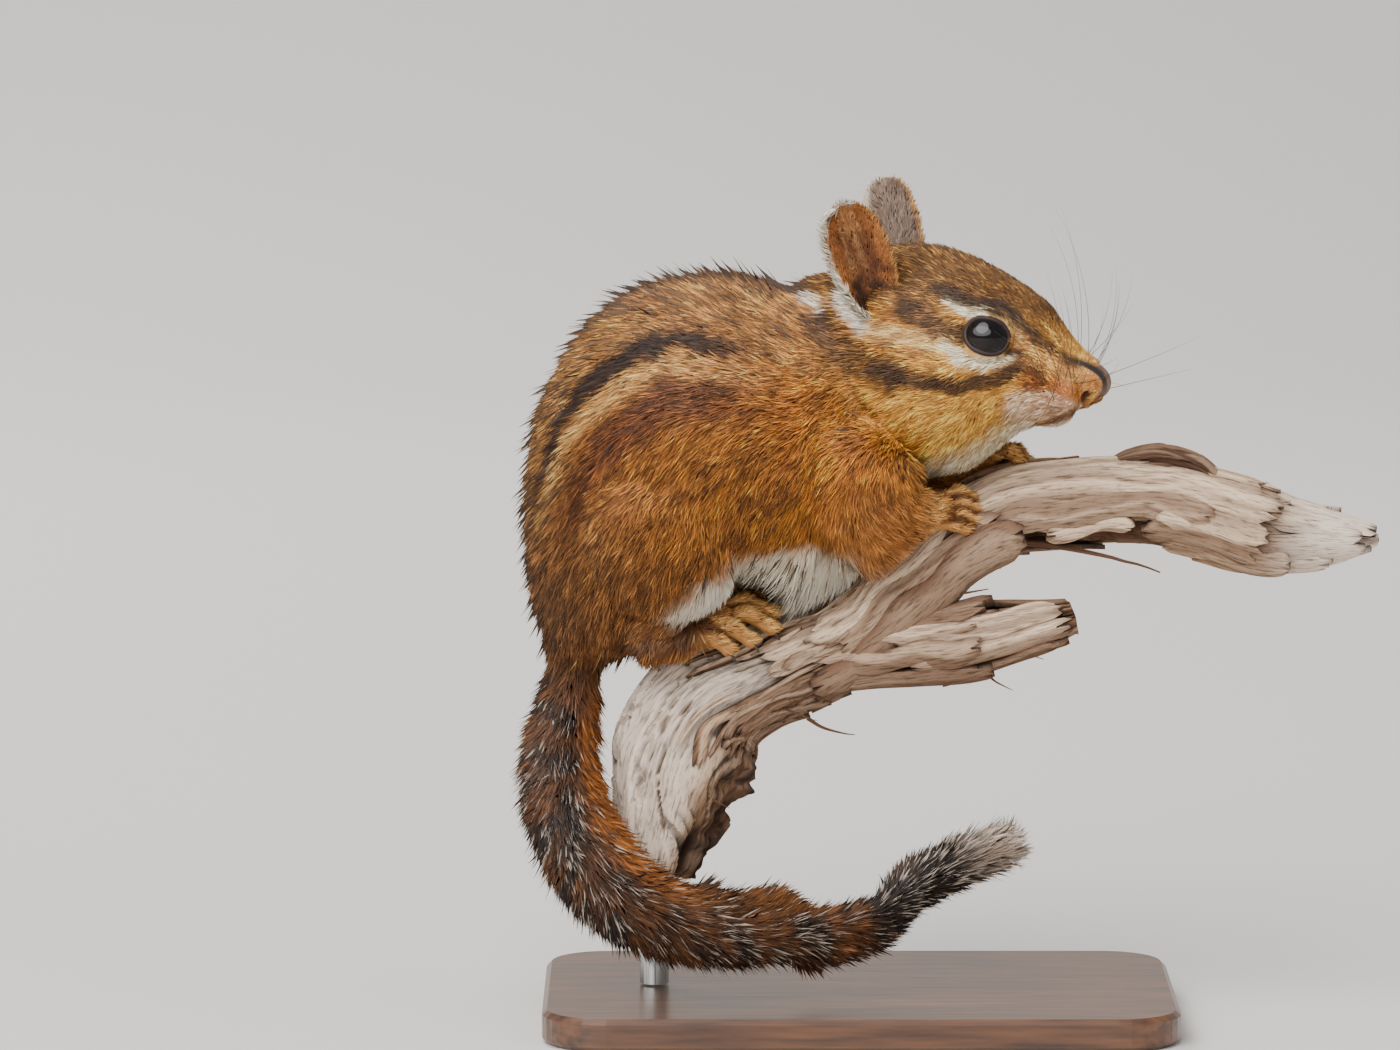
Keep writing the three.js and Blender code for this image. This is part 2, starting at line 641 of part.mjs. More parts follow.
function perchSolid(index, grow = 0) {
  let solid = branchSolid(grow);
  if (index > 0) solid = solid.intersect(beyond(perchCuts[index - 1].point, perchCuts[index - 1].normal));
  if (index < perchCuts.length) {
    solid = solid.intersect(beyond(perchCuts[index].point, opposite(perchCuts[index].normal)));
  }
  return solid;
}

// Stand: a flat base with eased edges, and one short rod up to the sawn end of the branch
function baseSolid() {
  const [halfLength, halfDepth] = [baseLength / 2 - baseBevel, baseDepth / 2 - baseBevel];
  const outline = new THREE.Shape();
  outline.moveTo(-halfLength + baseCorner, -halfDepth);
  outline.lineTo(halfLength - baseCorner, -halfDepth);
  outline.absarc(halfLength - baseCorner, -halfDepth + baseCorner, baseCorner, -Math.PI / 2, 0);
  outline.absarc(halfLength - baseCorner, halfDepth - baseCorner, baseCorner, 0, Math.PI / 2);
  outline.absarc(-halfLength + baseCorner, halfDepth - baseCorner, baseCorner, Math.PI / 2, Math.PI);
  outline.absarc(-halfLength + baseCorner, -halfDepth + baseCorner, baseCorner, Math.PI, 1.5 * Math.PI);
  const geometry = new THREE.ExtrudeGeometry(outline, {
    depth: baseThickness - 2 * baseBevel,
    bevelThickness: baseBevel,
    bevelSize: baseBevel,
    bevelSegments: 1,
    curveSegments: 4,
  });
  return toSolid(geometry.translate(0, 0, baseBevel));
}

function rodSolid(grow = 0) {
  const foot = baseThickness + gap;
  const radius = rodRadius + grow;
  const geometry = new THREE.CylinderGeometry(radius, radius, rodTop - foot + 2 * grow, 16);
  geometry.rotateX(Math.PI / 2).translate(rodPlace, 0, (rodTop + foot) / 2);
  return toSolid(geometry);
}

// Every part in order: each is cut clear of those before it, by the gap
const recipes = [
  ["stand_base", () => baseSolid(), standWood],
  ["stand_rod", (grow) => rodSolid(grow), rodSteel],
  ...perchParts.map((name, i) => [name, (grow) => perchSolid(i, grow), weatheredWood]),
  ["perch_prong", (grow) => prongSolid(grow), weatheredWood],
  ["eye_right", (grow) => toHeadPlace(eyeBall("right", grow)), eyeBlack],
  ["eye_left", (grow) => toHeadPlace(eyeBall("left", grow)), eyeBlack],
  ["forepaw_right", (grow) => footSolid("forepaw_right", grow), pawTan],
  ["forepaw_left", (grow) => footSolid("forepaw_left", grow), pawTan],
  ["hindfoot_right", (grow) => footSolid("hindfoot_right", grow), pawTan],
  ["hindfoot_left", (grow) => footSolid("hindfoot_left", grow), pawTan],
  ...Object.keys(legs).map((name) => [name, (grow) => legSolid(name, grow), coatBrown]),
  ["ear_right", (grow) => toHeadPlace(earSolid("right", grow)), earBrown],
  ["ear_left", (grow) => toHeadPlace(earSolid("left", grow)), earBrown],
  ...tailParts.map((name, i) => [name, (grow) => tailSolid(i, grow), coatTail]),
];

function boxesMeet(a, b) {
  const [boxA, boxB] = [a.boundingBox(), b.boundingBox()];
  return [0, 1, 2].every((k) => boxA.min[k] < boxB.max[k] && boxB.min[k] < boxA.max[k]);
}

const placed = [];
function carve(solid) {
  let left = solid;
  for (const { grown } of placed) {
    if (boxesMeet(left, grown)) left = left.subtract(grown);
  }
  return largest(left);
}

const model = new THREE.Group();
function place(name, solid, material) {
  const { min, max } = solid.boundingBox();
  const centre = new THREE.Vector3(...min).add(new THREE.Vector3(...max)).divideScalar(2);
  const mesh = new THREE.Mesh(toGeometry(solid).translate(-centre.x, -centre.y, -centre.z), material);
  mesh.name = name;
  mesh.position.copy(centre);
  model.add(mesh);
}

for (const [name, make, material] of recipes) {
  place(name, carve(make(0)), material);
  placed.push({ grown: make(gap) });
}

// The trunk of the animal is modelled whole and parted by thin cuts
const trunk = carve(joined([torsoSolid(), toHeadPlace(headSolid())]));
const behindNeck = beyond(neckBack.point, opposite(neckBack.normal));
const pastNeck = beyond(neckFront.point, neckFront.normal);
const neckSpan = beyond(neckBack.point, neckBack.normal)
  .intersect(beyond(neckFront.point, opposite(neckFront.normal)));
place("torso", largest(trunk.intersect(behindNeck)), coatBrown);
place("neck", largest(trunk.intersect(neckSpan)), coatBrown);
place("head", largest(trunk.intersect(pastNeck)), coatFace);

export default model;
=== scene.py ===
import json
import math
import bpy
import numpy as np
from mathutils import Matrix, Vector

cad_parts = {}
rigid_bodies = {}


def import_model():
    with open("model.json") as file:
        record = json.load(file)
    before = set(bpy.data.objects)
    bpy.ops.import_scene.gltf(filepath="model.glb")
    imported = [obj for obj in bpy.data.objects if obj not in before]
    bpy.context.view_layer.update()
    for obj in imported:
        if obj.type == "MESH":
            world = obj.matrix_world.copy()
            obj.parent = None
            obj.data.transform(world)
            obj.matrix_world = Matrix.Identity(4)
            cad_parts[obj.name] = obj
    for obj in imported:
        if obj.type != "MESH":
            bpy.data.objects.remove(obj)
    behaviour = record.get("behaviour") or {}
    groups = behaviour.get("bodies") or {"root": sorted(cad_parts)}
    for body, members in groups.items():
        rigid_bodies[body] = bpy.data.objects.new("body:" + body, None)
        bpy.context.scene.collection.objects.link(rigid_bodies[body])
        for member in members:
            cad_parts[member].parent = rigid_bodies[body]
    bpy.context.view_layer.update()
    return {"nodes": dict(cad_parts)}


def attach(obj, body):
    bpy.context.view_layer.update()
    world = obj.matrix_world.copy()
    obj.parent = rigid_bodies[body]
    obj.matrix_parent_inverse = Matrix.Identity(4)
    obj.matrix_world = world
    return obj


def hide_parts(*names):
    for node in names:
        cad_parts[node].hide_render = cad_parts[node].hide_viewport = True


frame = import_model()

mm = 0.001  # shapes are worked out in millimetres and put into meshes in metres
draw = np.random.default_rng(41)
print("frame loaded:", len(frame["nodes"]), "nodes")


# Small helpers for arrays of vectors and colours
def unit(v):
    return v / np.maximum(np.linalg.norm(v, axis=-1, keepdims=True), 1e-9)


def dot(a, b):
    return (a * b).sum(-1)


def smooth(low, high, x):
    share = np.clip((x - low) / (high - low), 0, 1)
    return share * share * (3 - 2 * share)


def tint(red, green, blue):
    # a colour as seen on a screen, 0 to 255, turned into the linear light that a shader works in
    seen = np.array([red, green, blue]) / 255
    return np.where(seen <= 0.04045, seen / 12.92, ((seen + 0.055) / 1.055) ** 2.4)


def blendTo(base, colour, share):
    return base + (colour - base) * np.asarray(share)[..., None]


# Value noise: each corner of a cubic lattice has a random height from 0 to 1, and a point between them
# takes the mix of its eight corners, weighted by the smooth step of its place in the cell
def lumps(points, size, seed=0):
    places = np.asarray(points, float) / size
    cell = np.floor(places).astype(np.int64)
    part = places - cell
    part = part * part * (3 - 2 * part)
    total = np.zeros(len(places))
    for corner in range(8):
        step = np.array([corner & 1, corner >> 1 & 1, corner >> 2 & 1])
        key = (cell + step) @ np.array([73856093, 19349663, 83492791]) + seed * 40503
        key = (key ^ (key >> 13)) * 1274126177 & 0xFFFFFFFF
        key = (key ^ (key >> 16)) * 668265263 & 0xFFFFFFFF
        weight = np.prod(np.where(step, part, 1 - part), axis=1)
        total += weight * ((key >> 8) & 0xFFFF) / 65535
    return total


# A smooth line through rows of numbers: on each span a cubic whose end slopes are half the chord
# between the neighbours on either side
def curveAt(rows, t):
    rows = np.asarray(rows, float)
    padded = np.vstack([2 * rows[0] - rows[1], rows, 2 * rows[-1] - rows[-2]])
    place = np.clip(t, 0, 1) * (len(rows) - 1)
    span = np.minimum(place.astype(int), len(rows) - 2)
    f = (place - span)[:, None]
    before, start, end, after = (padded[span + k] for k in range(4))
    slopeIn, slopeOut = (end - before) / 2, (after - start) / 2
    return ((2 * f**3 - 3 * f**2 + 1) * start + (f**3 - 2 * f**2 + f) * slopeIn
            + (3 * f**2 - 2 * f**3) * end + (f**3 - f**2) * slopeOut)


# Distance from points to a broken line, in any number of dimensions, and the share of the way along it
def toLine(points, line):
    line = np.asarray(line, float)
    best = np.full(len(points), 1e9)
    along = np.zeros(len(points))
    for k in range(len(line) - 1):
        start, way = line[k], line[k + 1] - line[k]
        share = np.clip(dot(points - start, way) / dot(way, way), 0, 1)
        away = np.linalg.norm(points - start - share[:, None] * way, axis=1)
        nearer = away < best
        best = np.where(nearer, away, best)
        along = np.where(nearer, (k + share) / (len(line) - 1), along)
    return best, along


# The centre, ways and half sizes of a body at shares t of its length. Its stations are rows of
# x, y, z, half width, height above, height below and depth of coat.
def framesAt(body, t):
    t = np.asarray(t, float)
    values = curveAt(body["stations"], t)
    ahead = unit(curveAt(body["stations"], t + 0.004)[:, :3] - curveAt(body["stations"], t - 0.004)[:, :3])
    side = np.array([0.0, 1.0, 0.0]) - ahead * ahead[:, 1:2]
    side = unit(side)
    up = unit(curveAt(body["ups"], t)) if "ups" in body else np.cross(ahead, side)
    at = values[:, :3]
    if "turn" in body:
        at, side, up, ahead = (v @ body["turn"].T for v in (at, side, up, ahead))
        at = at + body["pivot"]
    return {"at": at, "side": side, "up": up, "ahead": ahead, "size": values[:, 3:6], "coat": values[:, 6]}


# A closed tube along a body, inside it by its coat: each ring is centre + cos(angle)·side·width +
# sin(angle)·up·height, and both ends are quarter-ellipse domes that close in a point
def tube(body, along=60, around=40, dome=0.8):
    turns = np.linspace(0, math.pi / 2, 7)[1:-1]
    t = np.concatenate([np.zeros(5), np.linspace(0, 1, along), np.ones(5)])
    shrink = np.concatenate([np.cos(turns[::-1]), np.ones(along), np.cos(turns)])
    push = np.concatenate([-np.sin(turns[::-1]), np.zeros(along), np.sin(turns)])
    ring = framesAt(body, t)
    size = np.maximum(ring["size"] - ring["coat"][:, None], 0.2)
    reach = dome * np.minimum(size[:, 0], (size[:, 1] + size[:, 2]) / 2)
    middle = ring["at"] + ring["ahead"] * (push * reach)[:, None]
    angle = np.linspace(0, 2 * math.pi, around, endpoint=False)
    pear = body.get("pear", 0.0)
    wide = np.outer(size[:, 0] * shrink, np.cos(angle) * (1 - pear * np.sin(angle)))
    tall = np.where(np.sin(angle) > 0, size[:, 1:2], size[:, 2:3]) * np.sin(angle) * shrink[:, None]
    grid = middle[:, None] + wide[..., None] * ring["side"][:, None] + tall[..., None] * ring["up"][:, None]
    poles = [ring["at"][k] + ring["ahead"][k] * way * reach[k] for k, way in ((0, -1), (-1, 1))]
    return closeGrid(grid, *poles)


# The faces between neighbouring rows of a grid; in a closed one each row also joins its end to its start
def gridQuads(rows, columns, closed):
    j = np.arange(columns if closed else columns - 1)
    nextJ = (j + 1) % columns
    i = np.arange(rows - 1)[:, None] * columns
    return np.stack([i + j, i + nextJ, i + columns + nextJ, i + columns + j], -1).reshape(-1, 4)


# A grid of rings, closed by a fan of triangles at each pole
def closeGrid(grid, firstPole, lastPole):
    rings, around = grid.shape[:2]
    points = np.vstack([grid.reshape(-1, 3), firstPole, lastPole])
    j = np.arange(around)
    nextJ = (j + 1) % around
    last = (rings - 1) * around
    fans = np.vstack([
        np.stack([np.full(around, rings * around), nextJ, j], -1),
        np.stack([last + j, last + nextJ, np.full(around, rings * around + 1)], -1),
    ])
    return points, gridQuads(rings, around, True), fans


# A mesh object from arrays of points in millimetres, four-sided faces and three-sided faces
def meshFrom(name, points, quads=None, triangles=None):
    parts = [f for f in (quads, triangles) if f is not None and len(f)]
    corners = np.concatenate([f.ravel() for f in parts]).astype(np.int32)
    sides = np.concatenate([np.full(len(f), f.shape[1]) for f in parts])
    starts = np.concatenate([[0], np.cumsum(sides)[:-1]]).astype(np.int32)
    mesh = bpy.data.meshes.new(name)
    mesh.vertices.add(len(points))
    mesh.vertices.foreach_set("co", (np.asarray(points) * mm).astype(np.float32).ravel())
    mesh.loops.add(len(corners))
    mesh.loops.foreach_set("vertex_index", corners)
    mesh.polygons.add(len(sides))
    mesh.polygons.foreach_set("loop_start", starts)
    mesh.update(calc_edges=True)
    mesh.polygons.foreach_set("use_smooth", np.ones(len(sides), bool))
    piece = bpy.data.objects.new(name, mesh)
    bpy.context.scene.collection.objects.link(piece)
    return piece


def addColours(mesh, name, colours):
    layer = mesh.color_attributes.new(name, "FLOAT_COLOR", "POINT")
    layer.data.foreach_set("color", np.column_stack([colours,
                                                     np.ones(len(colours))]).astype(np.float32).ravel())


def addPlaces(mesh, name, uv):
    # uv holds one pair for each corner of a face
    layer = mesh.uv_layers.new(name=name)
    layer.data.foreach_set("uv", uv.astype(np.float32).ravel())


def pointsOf(mesh):
    flat = np.empty(len(mesh.vertices) * 3, np.float32)
    mesh.vertices.foreach_get("co", flat)
    return flat.reshape(-1, 3).astype(float) / mm


# Sets a node's inputs: a socket is linked, and anything else is put in as the input's value
def setInputs(material, node, inputs):
    for name, value in inputs.items():
        if isinstance(value, bpy.types.NodeSocket):
            material.node_tree.links.new(value, node.inputs[name])
        else:
            node.inputs[name].default_value = value


def newMaterial(name, inputs):
    material = bpy.data.materials.new(name)
    material.use_nodes = True
    setInputs(material, material.node_tree.nodes["Principled BSDF"], inputs)
    return material


def paintWith(material, inputs):
    setInputs(material, material.node_tree.nodes["Principled BSDF"], inputs)


def addNode(material, kind, inputs, **settings):
    node = material.node_tree.nodes.new(f"ShaderNode{kind}")
    for name, value in settings.items():
        setattr(node, name, value)
    setInputs(material, node, inputs)
    return node


def noiseAt(material, place, **inputs):
    return addNode(material, "TexNoise", {"Vector": place, **inputs}).outputs["Fac"]


# A ramp between two colours, at the given places of the factor
def rampOf(material, factor, *stops):
    ramp = addNode(material, "ValToRGB", {"Fac": factor})
    for element, (position, colour) in zip(ramp.color_ramp.elements, stops):
        element.position = position
        element.color = (*colour, 1)
    return ramp.outputs["Color"]


def bumpOf(material, height, strength, distance):
    inputs = {"Height": height, "Strength": strength, "Distance": distance}
    return addNode(material, "Bump", inputs).outputs["Normal"]


def inkOf(material, layer):
    return addNode(material, "VertexColor", {}, layer_name=layer).outputs["Color"]


# One colour times another, by a share
def multiplied(material, share, first, second):
    both = addNode(material, "Mix", {}, data_type="RGBA", blend_type="MULTIPLY")
    setInputs(material, both, {"Factor": share, "A": first, "B": second})
    return both.outputs["Result"]


# Gives a piece its material and its body, and hides the CAD nodes that it replaces
def fit(piece, paint, slotName, *replaced):
    piece.data.materials.append(paint)
    if replaced:
        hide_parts(*replaced)
    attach(piece, "root")
    return piece


# Camera at the photo's angle: 7 degrees above, level with the animal's side
view = {"target": (-24.24, 0, 75.6), "elevation": 7, "distance": 1200, "pixelsPerMm": 6.6,
        "frameWidth": 1400}
camera = bpy.data.objects.new("viewpoint", bpy.data.cameras.new("viewpoint"))
bpy.context.scene.collection.objects.link(camera)
raised = math.radians(view["elevation"])
away = np.array([0, -math.cos(raised), math.sin(raised)]) * view["distance"]
camera.location = Vector((np.array(view["target"]) + away) * mm)
camera.rotation_euler = (math.pi / 2 - raised, 0, 0)
camera.data.sensor_width = 36
camera.data.lens = 36 * view["pixelsPerMm"] * view["distance"] / view["frameWidth"]
camera.data.clip_start = 0.05
camera.data.clip_end = 20
bpy.context.scene.camera = camera

# Plain pale floor that curves up far behind, so that no edge shows
stage = {"colour": tint(205, 200, 194), "half": 3000, "behind": 900, "bend": 900, "top": 4000}
across = np.linspace(-stage["half"], stage["half"], 9)
sweep = np.linspace(0, math.pi / 2, 17)
profile = np.vstack([
    [[-stage["half"], 0]],
    np.column_stack([stage["behind"] + stage["bend"] * np.sin(sweep), stage["bend"] * (1 - np.cos(sweep))]),
    [[stage["behind"] + stage["bend"], stage["top"]]],
])
sheet = np.stack(np.broadcast_arrays(across[None, :], profile[:, :1], profile[:, 1:]), -1)
floor = meshFrom("studio_floor", sheet.reshape(-1, 3), gridQuads(*sheet.shape[:2], False))
paper = newMaterial("studioPaper", {"Roughness": 0.9, "Base Color": (*stage["colour"], 1)})
grain = addNode(paper, "TexNoise", {"Scale": 900}).outputs["Fac"]
bump = addNode(paper, "Bump", {"Strength": 0.05, "Height": grain})
paintWith(paper, {"Normal": bump.outputs["Normal"]})
floor.data.materials.append(paper)

# Soft light: a large panel above on the left, a weaker one on the right and one behind
lamps = {
    "key_panel": {"place": (-0.55, -0.9, 1.15), "size": 1.5, "watts": 38},
    "fill_panel": {"place": (1.0, -0.8, 0.45), "size": 0.9, "watts": 6, "glossy": False},
    "eye_panel": {"place": (-1.0, -1.7, 1.25), "size": 4.2, "high": 2.0, "watts": 110, "diffuse": False},
    "rim_panel": {"place": (-0.5, 0.9, 0.9), "size": 0.6, "watts": 14, "glossy": False},
}
for name, lamp in lamps.items():
    light = bpy.data.objects.new(name, bpy.data.lights.new(name, "AREA"))
    bpy.context.scene.collection.objects.link(light)
    light.location = lamp["place"]
    light.data.shape = "ELLIPSE"
    light.data.size = lamp["size"]
    light.data.size_y = lamp.get("high", lamp["size"])
    light.visible_glossy = lamp.get("glossy", True)
    light.visible_diffuse = lamp.get("diffuse", True)
    light.data.energy = lamp["watts"]
    light.rotation_euler = (Vector((0, 0, 0.08)) - light.location).to_track_quat("-Z", "Y").to_euler()
world = bpy.data.worlds.new("studioAir")
bpy.context.scene.world = world
world.use_nodes = True
world.node_tree.nodes["Background"].inputs["Color"].default_value = (0.92, 0.95, 1, 1)
world.node_tree.nodes["Background"].inputs["Strength"].default_value = 0.55
print("stage, lights and camera")

# The head's own frame: x to the nose, y to its left, z up, turned 15 degrees to the right, rolled by 3
headPose = {"pivot": (0, 0, 102), "yaw": -15, "roll": 3}
yaw, roll = (math.radians(headPose[k]) for k in ("yaw", "roll"))
headTurn = np.array([[math.cos(yaw), -math.sin(yaw), 0], [math.sin(yaw), math.cos(yaw), 0], [0, 0, 1]])
headTurn = headTurn @ np.array(
    [[1, 0, 0], [0, math.cos(roll), -math.sin(roll)], [0, math.sin(roll), math.cos(roll)]])
headPivot = np.array(headPose["pivot"], float)


def toHead(points):
    return (points - headPivot) @ headTurn


def fromHead(points):
    return np.asarray(points, float) @ headTurn.T + headPivot


# Rows for the head: place along it, top, bottom, half width and depth of coat
headRows = [
    (-4, 13, -14, 11, 2.2), (2, 16, -18, 12.6, 2.0), (7.5, 17.3, -19.5, 13.6, 1.8),
    (12.6, 17, -19.2, 13.6, 1.6), (17, 15.6, -17.9, 12.6, 1.4), (21, 13.8, -14.8, 11, 1.2),
    (25, 11.4, -11.9, 9.1, 0.95), (28.8, 8.6, -10.7, 7.2, 0.75), (32, 4.5, -9.2, 5.3, 0.6),
    (34.7, 1.4, -7.8, 4.2, 0.45), (36.4, -0.9, -6.9, 3.1, 0.3),
]
# Rows for the torso: the section's point on the back, its point on the belly, half width and coat
torsoRows = [
    ((-48.4, 59.6), (-37, 55.2), 7, 2.2), ((-50.2, 69), (-33, 56.6), 12.5, 2.6),
    ((-50.4, 81), (-28, 59.5), 17, 2.8), ((-47.2, 97), (-23.5, 62), 20, 2.8),
    ((-37.6, 110), (-18.5, 63.5), 21.4, 2.8), ((-25, 114.4), (-12.5, 65), 20.6, 2.8),
    ((-12, 113.2), (-5.5, 68), 18, 2.7), ((-3.5, 111.6), (2, 74), 14.6, 2.4),
    ((2.6, 105), (6, 82), 9.5, 2.2),
]
widestShare = 0.42  # where a torso section is widest, from the belly up


def torsoBody():
    rows, ups = [], []
    for (topX, topZ), (bottomX, bottomZ), half, coat in torsoRows:
        span = np.array([topX - bottomX, 0, topZ - bottomZ])
        height = np.linalg.norm(span)
        rows.append([bottomX + widestShare * span[0], 0, bottomZ + widestShare * span[2],
                     half, (1 - widestShare) * height, widestShare * height, coat])
        ups.append(span / height)
    return {"stations": rows, "ups": ups}


def headBody():
    rows = [[x, 0, (top + bottom) / 2, half, (top - bottom) / 2, (top - bottom) / 2, coat]
            for x, top, bottom, half, coat in headRows]
    ups = [[0, 0, 1]] * len(rows)
    return {"stations": rows, "ups": ups, "turn": headTurn, "pivot": headPivot, "pear": 0.1}


# Limb stations: x, y, z, half width, half height, coat; the lower height equals the upper
def limb(*rows):
    return {"stations": [[x, y, z, wide, tall, tall, coat] for x, y, z, wide, tall, coat in rows]}


def hindUpper(hand):
    return limb((-33.5, hand * 11, 86, 8, 9, 2.6), (-31, hand * 12.5, 79, 10.4, 13, 2.6),
                (-27.4, hand * 13.2, 71, 9.2, 11.6, 2.4), (-24.6, hand * 12.6, 65.6, 5.4, 6.6, 1.8))


def hindLower(hand):
    return limb((-24.4, hand * 12, 67, 5, 6, 1.6), (-28, hand * 11, 63.6, 4.6, 5.4, 1.3),
                (-32, hand * 9.6, 60.6, 3.6, 3.8, 0.8))


tailRows = [
    (-41.8, 0, 62, 6, 5.6), (-43, -0.6, 55.5, 6.2, 6), (-44, -2, 49.6, 6.8, 6.6), (-45.2, -5, 42, 7.6, 7.6),
    (-44.4, -9.6, 34.4, 8.2, 8.2), (-41, -13.6, 27.2, 8.5, 8.5), (-34.8, -16.4, 20.9, 8.3, 8.1),
    (-25.8, -17.2, 17.2, 7.5, 7.2), (-15.2, -16, 15.6, 6.5, 6), (-4.5, -14, 17, 5.9, 5.4),
    (4.5, -12.4, 20.4, 5.5, 5), (12.9, -11, 24.7, 5, 4.6), (20, -10.5, 27.4, 3.4, 3.2),
]
tailCore = {"share": 0.42, "fullTo": 0.12}  # of the outline, and up to here it thickens to the root


def tailBody():
    rows = []
    for k, (x, y, z, wide, tall) in enumerate(tailRows):
        share = tailCore["share"] + (0.7 - tailCore["share"]) * max(0, 1 - k / 12 / tailCore["fullTo"])
        rows.append([x, y, z, wide, tall, tall, (1 - share) * (wide + tall) / 2])
    return {"stations": rows}


bodies = {
    "torso": torsoBody(),
    "head": headBody(),
    "foreUpperRight": limb((-2.0, -10, 88, 7.4, 9.4, 2.0), (-0.4, -12.4, 82.8, 5.8, 10.4, 1.7),
                           (1.2, -13.2, 78.4, 4.6, 7.6, 1.3)),
    "foreLowerRight": limb((0.8, -13.2, 77.4, 4.2, 6, 1.2), (4.8, -12.2, 78, 3.9, 5.7, 1.0),
                           (9, -9.9, 78.9, 3.3, 4.1, 0.7)),
    "foreUpperLeft": limb((-0.5, 10, 87.6, 7.4, 8.6, 2.0), (1.2, 12.2, 82.6, 5.6, 8, 1.7),
                          (3.8, 12.8, 78.8, 4.4, 5.8, 1.3)),
    "foreLowerLeft": limb((4.4, 12.8, 78.2, 4.2, 5, 1.2), (10.6, 11.2, 79.8, 3.8, 4.4, 0.9),
                          (17.2, 6.8, 83.6, 2.9, 3, 0.6)),
    "hindUpperRight": hindUpper(-1),
    "hindLowerRight": hindLower(-1),
    "hindUpperLeft": hindUpper(1),
    "hindLowerLeft": hindLower(1),
    "tail": tailBody(),
}

# Feet: a sole from heel or wrist to the ball, and toes given by knuckle, joint and tip
feet = {
    "forepaw_right": {
        "sole": [(9.2, -9.8, 78.4, 2.9, 3), (11.6, -7.8, 78.6, 2.8, 3.1)],
        "toes": [
            [(12, -6.4, 80), (14.6, -5.4, 80.9), (16.9, -4.8, 80)],
            [(12, -7.4, 79.2), (15, -6.4, 79.5), (17.3, -5.8, 78.5)],
            [(12, -8, 78.1), (14.8, -7.4, 78), (16.9, -6.8, 77)],
            [(11.8, -8.4, 77), (14, -8, 76.6), (15.9, -7.4, 75.8)],
        ],
    },
    "forepaw_left": {
        "sole": [(17.6, 6.6, 83.9, 2.6, 2.8), (20.4, 5, 85.2, 2.5, 2.6)],
        "toes": [
            [(20.6, 3.2, 86), (22.6, 1.8, 86.5), (24, 0.8, 85.3)],
            [(21.4, 4.2, 86), (23.6, 3.4, 86.3), (25, 2.9, 84.9)],
            [(21.4, 5.4, 85.6), (23.6, 5.4, 85.4), (24.8, 5.4, 83.7)],
            [(21, 6.4, 84.8), (22.8, 6.9, 84), (23.8, 7, 82.3)],
        ],
    },
    "hindfoot_right": {
        "sole": [(-31.4, -9.2, 59.2, 2.6, 2.4), (-26, -8.6, 60, 3, 2.4), (-21.4, -7.6, 62.4, 3.3, 2.5)],
        "toes": [
            [(-20.4, -4.6, 65), (-17.4, -3.8, 65.8), (-14.6, -3.4, 64.2)],
            [(-21.2, -6, 63.8), (-17.8, -5.6, 64.8), (-13, -5.3, 62.9)],
            [(-21.6, -7.8, 62.2), (-17.3, -7.7, 63), (-13.5, -7.4, 60.7)],
            [(-22.8, -9.4, 61), (-19.8, -9.7, 61.2), (-16.6, -9.5, 59.1)],
            [(-24, -10, 60), (-21.8, -10.6, 59.4), (-20, -10.2, 57.9)],
        ],
    },
}
feet["hindfoot_left"] = {
    "sole": [(x, -y, z, wide, tall) for x, y, z, wide, tall in feet["hindfoot_right"]["sole"]],
    "toes": [[(x, -y, z) for x, y, z in toe] for toe in feet["hindfoot_right"]["toes"]],
}
footShape = {"coat": 0.35, "toe": {"fore": 1.5, "hind": 1.6}, "claw": 1.4, "clawThick": 0.45,
             "density": 29.0}


def soleBody(foot):
    return limb(*[(*row, footShape["coat"]) for row in foot["sole"]])


def toeBody(toe):
    knuckle, joint, tip = (np.array(p, float) for p in toe)
    radius, coat = footShape["toe"]["hind" if toe[0][0] < 0 else "fore"], footShape["coat"]
    rows = [(knuckle, 1.1), ((knuckle + joint) / 2, 0.86), (joint, 1.02), ((joint + tip) / 2, 0.84),
            (tip, 0.92)]
    return limb(*[(*p, radius * share, radius * share, coat) for p, share in rows])


# The points, quads and fans of several closed shapes as those of one mesh
def joined(shapes):
    starts = np.cumsum([0] + [len(shape[0]) for shape in shapes])
    fans = [fan + start for (_, _, fan), start in zip(shapes, starts)]
    quads = [quad + start for (_, quad, _), start in zip(shapes, starts)]
    return np.vstack([shape[0] for shape in shapes]), np.vstack(quads), np.vstack(fans)


# Joins closed shapes into one skin: all in one mesh, remeshed at a given size, then eased
def fuse(name, shapes, voxel, easing):
    piece = meshFrom(name, *joined(shapes))
    remesh = piece.modifiers.new("remesh", "REMESH")
    remesh.mode = "VOXEL"
    remesh.voxel_size = voxel * mm
    relax = piece.modifiers.new("relax", "SMOOTH")
    relax.factor = 0.5
    relax.iterations = easing
    finished = bpy.data.meshes.new_from_object(
        piece.evaluated_get(bpy.context.evaluated_depsgraph_get()))
    bpy.data.objects.remove(piece)
    points = pointsOf(finished)
    corners = np.empty(len(finished.loops), np.int32)
    finished.loops.foreach_get("vertex_index", corners)
    sides = np.empty(len(finished.polygons), np.int32)
    finished.polygons.foreach_get("loop_total", sides)
    assert (sides == 4).all()
    bpy.data.meshes.remove(finished)
    return points, corners.reshape(-1, 4)


# The ellipsoid centre + half sizes·unit sphere, as rings between two poles
def ball(centre, halves, rings=14, around=20):
    polar = np.linspace(0, math.pi, rings + 2)[1:-1]
    turn = np.linspace(0, 2 * math.pi, around, endpoint=False)
    grid = np.stack([np.outer(np.sin(polar), np.cos(turn)), np.outer(np.sin(polar), np.sin(turn)),
                     np.outer(-np.cos(polar), np.ones(around))], -1) * halves + centre
    centre = np.asarray(centre, float)
    return closeGrid(grid, centre - [0, 0, halves[2]], centre + [0, 0, halves[2]])


def moved(shape, place):
    points, quads, fans = shape
    return place(points), quads, fans


